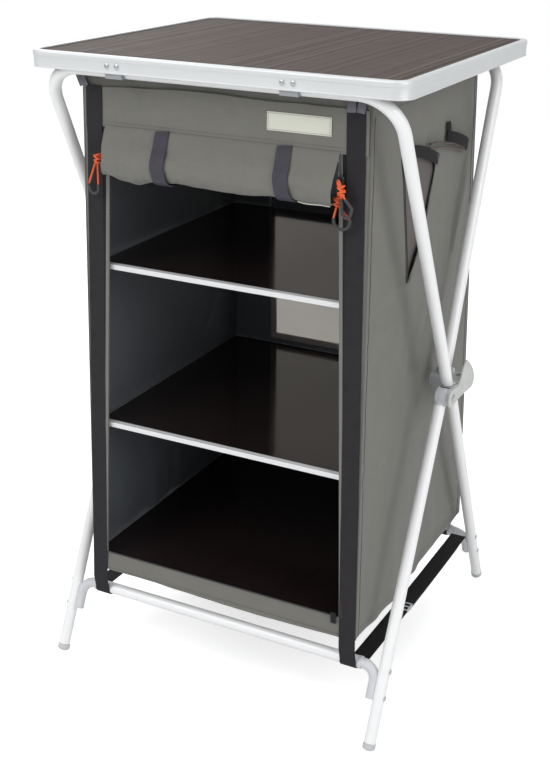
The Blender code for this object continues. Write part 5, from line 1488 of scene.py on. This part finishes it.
print("buckle:", size_of(buckle))

# %% Ties round the roll
TIE_LEAN = 0.011
TIE_ACROSS = (-0.013, -0.007, 0.0, 0.006, 0.012)
for tie_name, x in TIES.items():
    seed = 120.0 + 40 * x
    route, offset = [], 0.0019
    for turn in steps_between(0.03, 0.86, 90):
        spots = [Vector(roll_place(x + aside, turn)) for aside in TIE_ACROSS]
        here = max(spots, key=lambda spot: (spot - ROLL_HEART).length)
        after = here + Vector(roll_place(x, turn + 0.004)) - spots[2]
        way = (after - here).normalized()
        outward = Vector((-way.y, way.x))
        if outward.dot(here - ROLL_HEART) < 0:
            outward.negate()
        bow = (-0.0034 * math.exp(-((turn - 0.22) / 0.10) ** 2) + 0.0055 * rise(turn, 0.36, 0.50)
               - TIE_LEAN * (1 - rise(turn, 0.0, 0.26)))
        place_on = here + outward * (offset + 0.0006 * abs(ruck(turn, 0.0, 0.08, seed)))
        route.append(Vector((x + bow, -place_on.x, place_on.y)))
    seam = Vector((x - TIE_LEAN, -(half_depth(0.9165) + 0.0052), 0.9170))
    route = [seam, seam.lerp(route[2], 0.5)] + route[2:]
    last = route[-1]
    route += [Vector((x, last.y + 0.0006, z)) for z in steps_between(last.z + 0.004, 0.9105, 6)]
    tie = ribbon(f"tie_{tie_name}", route, (1, 0, 0), 0.023, WEB_THICK, "tie_web")
    hang(tie, "charcoal_webbing", f"door_tie_{tie_name}")
print("tie:", size_of(tie))

# %% [markdown]
# ## Seams, bindings and the bare patch
# Piping, binding tape and stitches are what make a sewn body read as sewn. Each follows a line on the
# cloth: piping is a thin rope, binding a narrow ribbon, and a stitch is one grain set down every four
# millimetres.


# %% Sewn lines
def on_front(x, z, stand=0.0):
    return Vector((x, -(half_depth(z) + CLOTH_STAND + stand), z))


def on_valance(x, z, stand=0.0):
    return on_front(x, z, valance_out(x, z) + stand)


def on_side(side_name, y, z, stand=0.0):
    """A place on a side wall's outer face."""
    side = SIDES[side_name]
    depth = half_depth(z)
    share = min(max((y + depth) / (2 * depth), 0.0), 1.0)
    out = wall_out(side_name, share, y, z) * min(1.0, (CLOTH_TOP - z) / 0.03)
    out += slit_lift(y, z) if side_name == "right" else 0.0
    return Vector((side * (half_width(z) + CLOTH_STAND - tuck(y, z) + out + stand), y, z))


def stitched(name, lines, finish="dark_thread", facing=(0.0, -1.0, 0.0), pitch=0.0041):
    seam = repeat(name, lines, pitch, STITCH, finish, facing)
    return hang(seam, "grey_olive_fabric")


STITCH_STAND = 0.0001
seam_rows = [[on_valance(x, z, STITCH_STAND) for x in both_ways(0.196, 90)] for z in (0.9222, 0.9174)]
stitched("valance_double_seam", seam_rows)
stitched("sill_hem_seam", [[on_front(x, 0.1665, 0.0010) for x in both_ways(0.225, 60)]])


def hem_seam(side_name, y):
    """A place on the seam over a side wall's hem."""
    return on_side(side_name, y, side_hem((y + 0.245) / 0.49) + 0.0110, STITCH_STAND)


for side_name in ("right", "left"):
    seam_rows = [[on_side(side_name, y, 0.9680, STITCH_STAND) for y in steps_between(-0.205, 0.212, 70)],
                 [hem_seam(side_name, y) for y in steps_between(-0.232, 0.235, 90)]]
    stitched(f"side_seams_{side_name}", seam_rows, facing=(float(SIDES[side_name]), 0.0, 0.0))

# %% Corner piping
for end_name, end_sign, side_name, side in CORNERS:
    inward = BACK_TUCK if end_sign > 0 else 0.0
    low = SIDE_HEM[3] if end_sign > 0 else SIDE_HEM[0]
    corner = [Vector((side * (half_width(z) - inward + 0.0002), end_sign * (half_depth(z) + 0.0002), z))
              for z in steps_between(CLOTH_TOP - 0.001, low, 60)]
    piping = rope(f"corner_piping_{end_name}_{side_name}", corner, 0.0013, "cloth_cord", 10)
    hang(piping, "grey_olive_fabric")
    inset = [on_side(side_name, end_sign * (half_depth(z) - 0.0105), z, STITCH_STAND)
             for z in steps_between(0.965, low + 0.001, 90)]
    seam = rope(f"corner_seam_{end_name}_{side_name}", inset, 0.0006, "dark_thread", 8)
    hang(seam, "grey_olive_fabric")

# %% Valance's upper edge
fold_line = [on_valance(x, valance_top(x), -0.0004) for x in both_ways(0.198, 90)]
hang(rope("valance_top_edge", fold_line, 0.0008, "cloth_cord", 8), "grey_olive_fabric")

# %% Opening binding and its zips
TRIM_HEIGHTS = steps_between(0.9135, 0.1990, 80)
for side_name, side in SIDES.items():
    edge = [on_front(side * (opening_half(z) + BINDING_INSET + 0.0028), z, 0.0010) for z in TRIM_HEIGHTS]
    tape = ribbon(f"opening_binding_{side_name}", edge, (1, 0, 0), 0.0056, 0.0014, "binding")
    hang(tape, "grey_olive_fabric")
    stitched(f"binding_stitches_{side_name}", [[p + Vector((side * 0.0015, -0.0008, 0)) for p in edge]],
             "pale_thread", pitch=0.0044)
    line = [on_front(side * (opening_half(z) + 0.0112), z, 0.0006) for z in TRIM_HEIGHTS]
    zip_tape = ribbon(f"zip_tape_{side_name}", line, (1, 0, 0), 0.0058, 0.0008, "black_webbing")
    hang(zip_tape, "charcoal_webbing")
    coil = repeat(f"zip_coil_{side_name}", [[p + Vector((0, -0.0007, 0)) for p in line]], 0.0021, TOOTH,
                  "zip_coil", (0.0, -1.0, 0.0))
    hang(coil, "charcoal_webbing")
sill_edge = [on_front(x, OPENING_LOW + 0.0006, 0.0002) for x in both_ways(0.2126, 60)]
hang(rope("sill_piping", sill_edge, 0.0012, "dark_cord", 10), "grey_olive_fabric")
tab_line = [on_front(0.2065 + 0.0010 * t, 0.2035 - 0.0185 * t, 0.0030) for t in shares(8)]
end_tab = ribbon("zip_end_tab", tab_line, (1, 0, 0), 0.0092, 0.0012, "black_webbing")
hang(end_tab, "charcoal_webbing")
print("zip coils:", len(coil.data.polygons))

# %% Window binding
def frame_line(inset, stand):
    half, low, high = WINDOW_HALF - inset, WINDOW_LOW + inset, WINDOW_TOP - inset
    corners = [(-half, low), (half, low), (half, high), (-half, high)]
    line = []
    for (x0, z0), (x1, z1) in zip(corners, corners[1:] + corners[:1]):
        for t in shares(24)[:-1]:
            x, z = x0 + (x1 - x0) * t, z0 + (z1 - z0) * t
            line.append(Vector((x, half_depth(z) + stand, z)))
    return line


hang(rope("window_piping", frame_line(0.001, -0.0018), 0.0011, "pale_cord", 10, closed=True), "slate_lining")
window_seam = frame_line(-0.005, 0.0016)
stitched("window_stitches", [window_seam + window_seam[:1]], facing=(0.0, 1.0, 0.0))

# %% Bare patch
def patch_lay(a, b):
    x, z = 0.0772 + 0.0985 * a, 0.9360 + 0.0258 * b
    lift = 0.0003 + 0.0004 * ruck(x, z, 0.020, 66.0) * math.sin(math.pi * a)
    return on_valance(x, z, 0.0010 + lift), (x, z)


patch = cloth("bare_patch", shares(40), shares(12), patch_lay, "cream", thick=0.0007)
hang(patch, "grey_olive_fabric")
border = [(0.0794, 0.9378), (0.1735, 0.9378), (0.1735, 0.9600), (0.0794, 0.9600), (0.0794, 0.9378)]
rows = [[on_valance(x0 + (x1 - x0) * t, z0 + (z1 - z0) * t, 0.0016) for t in shares(12)]
        for (x0, z0), (x1, z1) in zip(border, border[1:])]
stitched("bare_patch_stitches", rows, "pale_thread", pitch=0.0033)
print("patch:", size_of(patch))

# %% [markdown]
# ## Right wall's strap and loop
# Webbing crosses the top of the slit. Behind it a short piece of webbing stands off the wall, and a
# loop of fine brown cord joins the two. They ride with the cloth's upper part.

# %% Side strap and loop piece
def lift(piece, *nodes):
    return keep(piece, "upper_cloth", "charcoal_webbing", *nodes)


STRAP_OUT = half_width(0.8565) + 0.0027
strap_line = smooth_line([(0.0, -0.079, 0.8965), (0.0, -0.045, 0.8895), (0.0, -0.006, 0.8785),
                          (0.0, 0.040, 0.8625)], 10)
route = []
for i, p in enumerate(strap_line):
    slack = 0.0022 * math.sin(math.pi * i / (len(strap_line) - 1))
    route.append(Vector((STRAP_OUT + 0.0004 - tuck(p.y, p.z) + slack, p.y, p.z)))
side_strap = ribbon("side_strap", route, (0, 0.34, 1.0), 0.0172, WEB_THICK, "black_webbing")
lift(side_strap, "side_strap_right")
tack_x = STRAP_OUT - tuck(0.030, 0.868) + 0.0018
tack = [[Vector((tack_x, 0.0365 - 0.0046 * k - 0.0021 * s, 0.8637 + 0.0016 * k + 0.0066 * s))
         for s in (-1, -0.33, 0.33, 1)] for k in (0, 1)]
lift(repeat("side_strap_tack", tack, 0.0034, STITCH, "pale_thread", (1.0, 0.0, 0.0)))
STAND_OFF = ((0.0, 0.078, 0.8915), (0.0052, 0.090, 0.8890), (0.0090, 0.116, 0.8815), (0.0084, 0.146, 0.8720),
             (0.0040, 0.170, 0.8640), (0.0, 0.184, 0.8595))
piece_line = smooth_line([(half_width(0.88) - tuck(y, z) + 0.0030 + out, y, z) for out, y, z in STAND_OFF], 8)
loop_piece = ribbon("loop_webbing", piece_line, (0, 0.35, 1.0), 0.0160, WEB_THICK, "black_webbing")
lift(loop_piece)
UPRIGHT = ((0.0, 0.085, 0.9120), (0.0016, 0.0855, 0.904), (0.0016, 0.086, 0.893), (0.0, 0.0865, 0.8830))
upright = smooth_line([(half_width(0.9) - tuck(y, z) + 0.0024 + out, y, z) for out, y, z in UPRIGHT], 8)
lift(ribbon("loop_upright", upright, (0, 1.0, 0), 0.0140, WEB_THICK, "black_webbing"))

# %% Brown cord loop
CORD_ROUTE = ((0.0034, -0.010, 0.8945), (0.0036, 0.015, 0.8920), (0.0030, 0.045, 0.8870),
              (0.0030, 0.075, 0.8815), (0.0032, 0.105, 0.8750), (0.0032, 0.140, 0.8660),
              (0.0026, 0.166, 0.8585), (0.0022, 0.172, 0.8550), (0.0024, 0.165, 0.8530),
              (0.0030, 0.140, 0.8590), (0.0030, 0.105, 0.8680), (0.0030, 0.075, 0.8750),
              (0.0030, 0.045, 0.8800), (0.0036, 0.015, 0.8845), (0.0034, -0.012, 0.8885))
cord_line = smooth_line([(STRAP_OUT - tuck(y, z) + out, y, z) for out, y, z in CORD_ROUTE], 6)
cord_run = run_length(cord_line)
brown_cord = rope("brown_cord_loop", cord_line, 0.0016, "brown", 10)
lift(brown_cord)
tuple(cord_line[0])
[tuple(p) for p in cord_line]
print("brown cord:", round(cord_run, 4), "m")

# %% Slit piping
rear_line = [on_side("right", p.x + 0.0012, p.y, 0.0002) for p in SLIT_LINE]
front_lines = [[on_side("right", p.x - shift, p.y, 0.0002) for p in SLIT_FRONT] for shift in (0.0012, 0.0052)]
hang(rope("slit_edge_rear", rear_line, 0.0009, "binding_cord", 10), "grey_olive_fabric")
for number, line in enumerate(front_lines):
    hang(rope(f"slit_edge_front_{number}", line, 0.0009, "dark_cord", 10), "grey_olive_fabric")

# %% [markdown]
# ## Shelves
# Each shelf is a thin board with a dark, glossy face, a pale edge binding with rounded back corners,
# and an aluminium channel over its front edge. The floor is the same board without the channel.

# %% Boards
SHELF_CORNER = 0.016
CHANNEL = [(0.0100, 0.0040), (0.0004, 0.0040), (0.0, 0.0036), (0.0, -0.0036), (0.0004, -0.0040),
           (0.0100, -0.0040), (0.0100, -0.0025), (0.0016, -0.0023), (0.0016, 0.0024), (0.0100, 0.0024)]


def board_outline(half, front, back, inset, z):
    half, back, corner = half - inset, back - inset, SHELF_CORNER - inset
    line = [Vector((half, -front + inset, z))]
    line += [Vector((*p, z)) for p in arc((half - corner, back - corner), corner, 0, 90, 10)]
    line += [Vector((*p, z)) for p in arc((-half + corner, back - corner), corner, 90, 180, 10)]
    return line + [Vector((-half, -front + inset, z))]


def shelf_board(name, half, front, back, z):
    form = bmesh.new()
    levels = ((0.0006, -0.0020), (0.0, -0.0014), (0.0, 0.0014), (0.0006, 0.0020))
    loft(form, [board_outline(half, front, back, inset, z + up) for inset, up in levels], closed=False)
    return from_form(name, form, "shelf")


for shelf_name, z in SHELF_Z.items():
    on_floor = shelf_name == "floor"
    half = half_width(z) - (0.0044 if on_floor else 0.0088)
    front_y = half_depth(z) - (0.0034 if on_floor else 0.0066)
    back_y = half_depth(z) - 0.0098
    board = shelf_board(f"{shelf_name}_panel", half, front_y, back_y, z)
    keep(board, shelf_name, "dark_shelf", "floor_board" if on_floor else f"{shelf_name}_board")
    line = board_outline(half, front_y - 0.007, back_y, 0.0004, z + 0.0012)
    keep(rope(f"{shelf_name}_edge_binding", line, 0.0012, "shelf_edge", 10), shelf_name, "dark_shelf")
    if not on_floor:
        strip_y = half_depth(z) - 0.0048
        form = bmesh.new()
        loft(form, [[Vector((x, -strip_y + d, z + up)) for d, up in CHANNEL] for x in (-half, half)],
             closed=False)
        strip = from_form(f"{shelf_name}_front_channel", form, "strip")
        keep(strip, shelf_name, "satin_aluminium", f"{shelf_name}_strip")
print("floor board:", size_of(board))

# %% [markdown]
# ## Zip sliders and pulls
# Each slider has a waisted body, a bridge and an eye. Its pull is a loop of orange cord knotted
# through the eye, with a dark rubber bow slipped over the ends of the two strands.

# %% Sliders
SLIDER_HALF = [(0.0026, 0.0065), (0.0038, 0.0050), (0.0040, 0.0020), (0.0030, -0.0022), (0.0031, -0.0052),
               (0.0022, -0.0064)]
SLIDER_OUTLINE = SLIDER_HALF + [(-x, up) for x, up in reversed(SLIDER_HALF)]
EYE_RIM = 0.0028 * 0.86
SLIDER_DROPS = {"left": (-1, 0.048, 0.0), "right_upper": (1, 0.042, 0.0064), "right_lower": (1, 0.060, 0.0)}
EYES = {}
for zip_name, (side, drop, forward) in SLIDER_DROPS.items():
    z = OPENING_TOP - drop
    middle = Vector((side * (opening_half(z) + 0.0090), -(half_depth(z) + 0.0057), z))
    eye = middle + Vector((0, -0.0060 - forward, 0.0030))
    EYES[zip_name] = eye
    form = bmesh.new()
    levels = [(0.90, -0.0025), (1.0, -0.0019), (1.0, 0.0015), (0.94, 0.0022)]
    loft(form, [[middle + Vector((x * s, y, up * s)) for x, up in SLIDER_OUTLINE] for s, y in levels],
         closed=False)
    parts = [from_form("slider_body", form, "zip")]
    eye_ring = [eye + Vector((0, EYE_RIM * math.cos(a), EYE_RIM * math.sin(a))) for a in round_angles(24)]
    parts.append(rope("eye_ring", eye_ring, 0.0007, "zip", 8, closed=True))
    bridge = smooth_line([middle + Vector((0, -0.0020, -0.0045)), middle + Vector((0, -0.0042, -0.0020)),
                          eye + Vector((0, 0.0030, -0.0012)), eye + Vector((0, 0.0024, 0.0014)),
                          middle + Vector((0, -0.0020, 0.0050))], 5)
    parts.append(rope("bridge", bridge, 0.0009, "zip", 10))
    foot_x = span(side, opening_half(z) + 0.0008, opening_half(z) + 0.0036)
    parts.append(rounded_bar("grip", (foot_x[0], middle.y, z - 0.0045),
                             (foot_x[1], middle.y + 0.0043, z + 0.0045), 0.0006, "zip"))
    slider = merged(f"zip_slider_body_{zip_name}", parts)
    keep(slider, f"zip_slider_{zip_name}", "zip_metal", f"zip_slider_{zip_name}")
print("eyes:", {name: tuple(round(c, 4) for c in eye) for name, eye in EYES.items()})

# %% Pulls
CORD_RADIUS = 0.0015
PULL_SHAPE = {"left": (-0.0072, -0.0250, -0.0085, 0.0060, 0.0610, 0.0150),
              "right_upper": (0.0066, 0.0078, 0.0220, 0.0120, 0.0495, 0.0260),
              "right_lower": (-0.0022, -0.0074, 0.0165, 0.0110, 0.0500, 0.0150)}
KNOT_WRAPS = ((0.55, 0.0044, 0.0042), (-0.50, 0.0014, 0.0052), (0.35, -0.0020, 0.0050),
              (-0.2, -0.0054, 0.0040))
for zip_name, eye in EYES.items():
    knot_x, left_x, right_x, knot_drop, reach, bow_long = PULL_SHAPE[zip_name]
    knot_at = eye + Vector((knot_x, -0.0030, -knot_drop))
    wide = right_x - left_x
    corners = [(0.0, 0.0, -0.0030), (knot_x * 0.6, -0.0016, -knot_drop * 0.6), (knot_x, -0.0030, -knot_drop),
               (knot_x * 0.7 + left_x * 0.3, -0.0026, -knot_drop - 0.010), (left_x, -0.0022, -reach + 0.0150),
               (left_x, -0.0020, -reach + 0.0100), (left_x + 0.10 * wide, -0.0018, -reach + 0.0040),
               (left_x + 0.32 * wide, -0.0018, -reach + 0.0006), (left_x + 0.5 * wide, -0.0018, -reach),
               (left_x + 0.68 * wide, -0.0018, -reach + 0.0006),
               (right_x - 0.10 * wide, -0.0018, -reach + 0.0040), (right_x, -0.0020, -reach + 0.0100),
               (right_x, -0.0022, -reach + 0.0150),
               (knot_x * 0.7 + right_x * 0.3, -0.0026, -knot_drop - 0.010),
               (knot_x + 0.0006, -0.0042, -knot_drop),
               (knot_x * 0.6 + 0.0006, -0.0022, -knot_drop * 0.6), (0.0006, -0.0004, -0.0032)]
    strand_line = smooth_line([eye + Vector(p) for p in corners], 7)
    length = run_length(strand_line)
    strands = rope(f"pull_cord_{zip_name}", strand_line, CORD_RADIUS, "orange", 12)
    knot_lines = []
    for tilt, height, size in KNOT_WRAPS:
        centre = knot_at + Vector((0.0003, 0.0, height))
        knot_lines.append([centre + Vector((size * math.cos(a), size * math.sin(a) * 0.75,
                                            size * tilt * math.cos(a))) for a in round_angles(20, True)])
    middle = (eye + knot_at) / 2 + Vector((0, 0, 0.0006))
    reach_up = (knot_at - eye) / 2
    through = [middle + reach_up * (1.05 * math.cos(a))
               + Vector((0.0012 * math.sin(a), 0.0016 * math.sin(a), 0)) for a in round_angles(24, True)]
    knot = rope(f"pull_knot_{zip_name}", knot_lines + [through], CORD_RADIUS * 0.95, "orange", 10)
    bow_line = [p for p in strand_line if p.z < eye.z - reach + bow_long]
    bow = rope(f"pull_bow_{zip_name}", bow_line, 0.0023, "loop", 14)
    body_name = f"zip_pull_{zip_name}"
    for piece in (strands, knot, bow):
        keep(piece, body_name, "orange_cord")
    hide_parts(body_name)
    tuple(strand_line[0])
    [tuple(p) for p in strand_line]
    print("pull cord", zip_name, round(length, 4), "m")

# %% [markdown]
# ## Ground
# The cupboard stands on a plain pale floor. The little pieces that were only set down again and again
# are removed.

# %% Pale floor
form = bmesh.new()
loft(form, [[Vector((x, y, -0.0006)) for x in (-5, 5)] for y in (-5, 5)], closed=False, caps=False,
     around=False)
ground = from_form("pale_floor", form, "ground", outwards=False)

# %% Finish
for spare in (STITCH, TOOTH, rivet_head):
    bpy.data.objects.remove(spare)
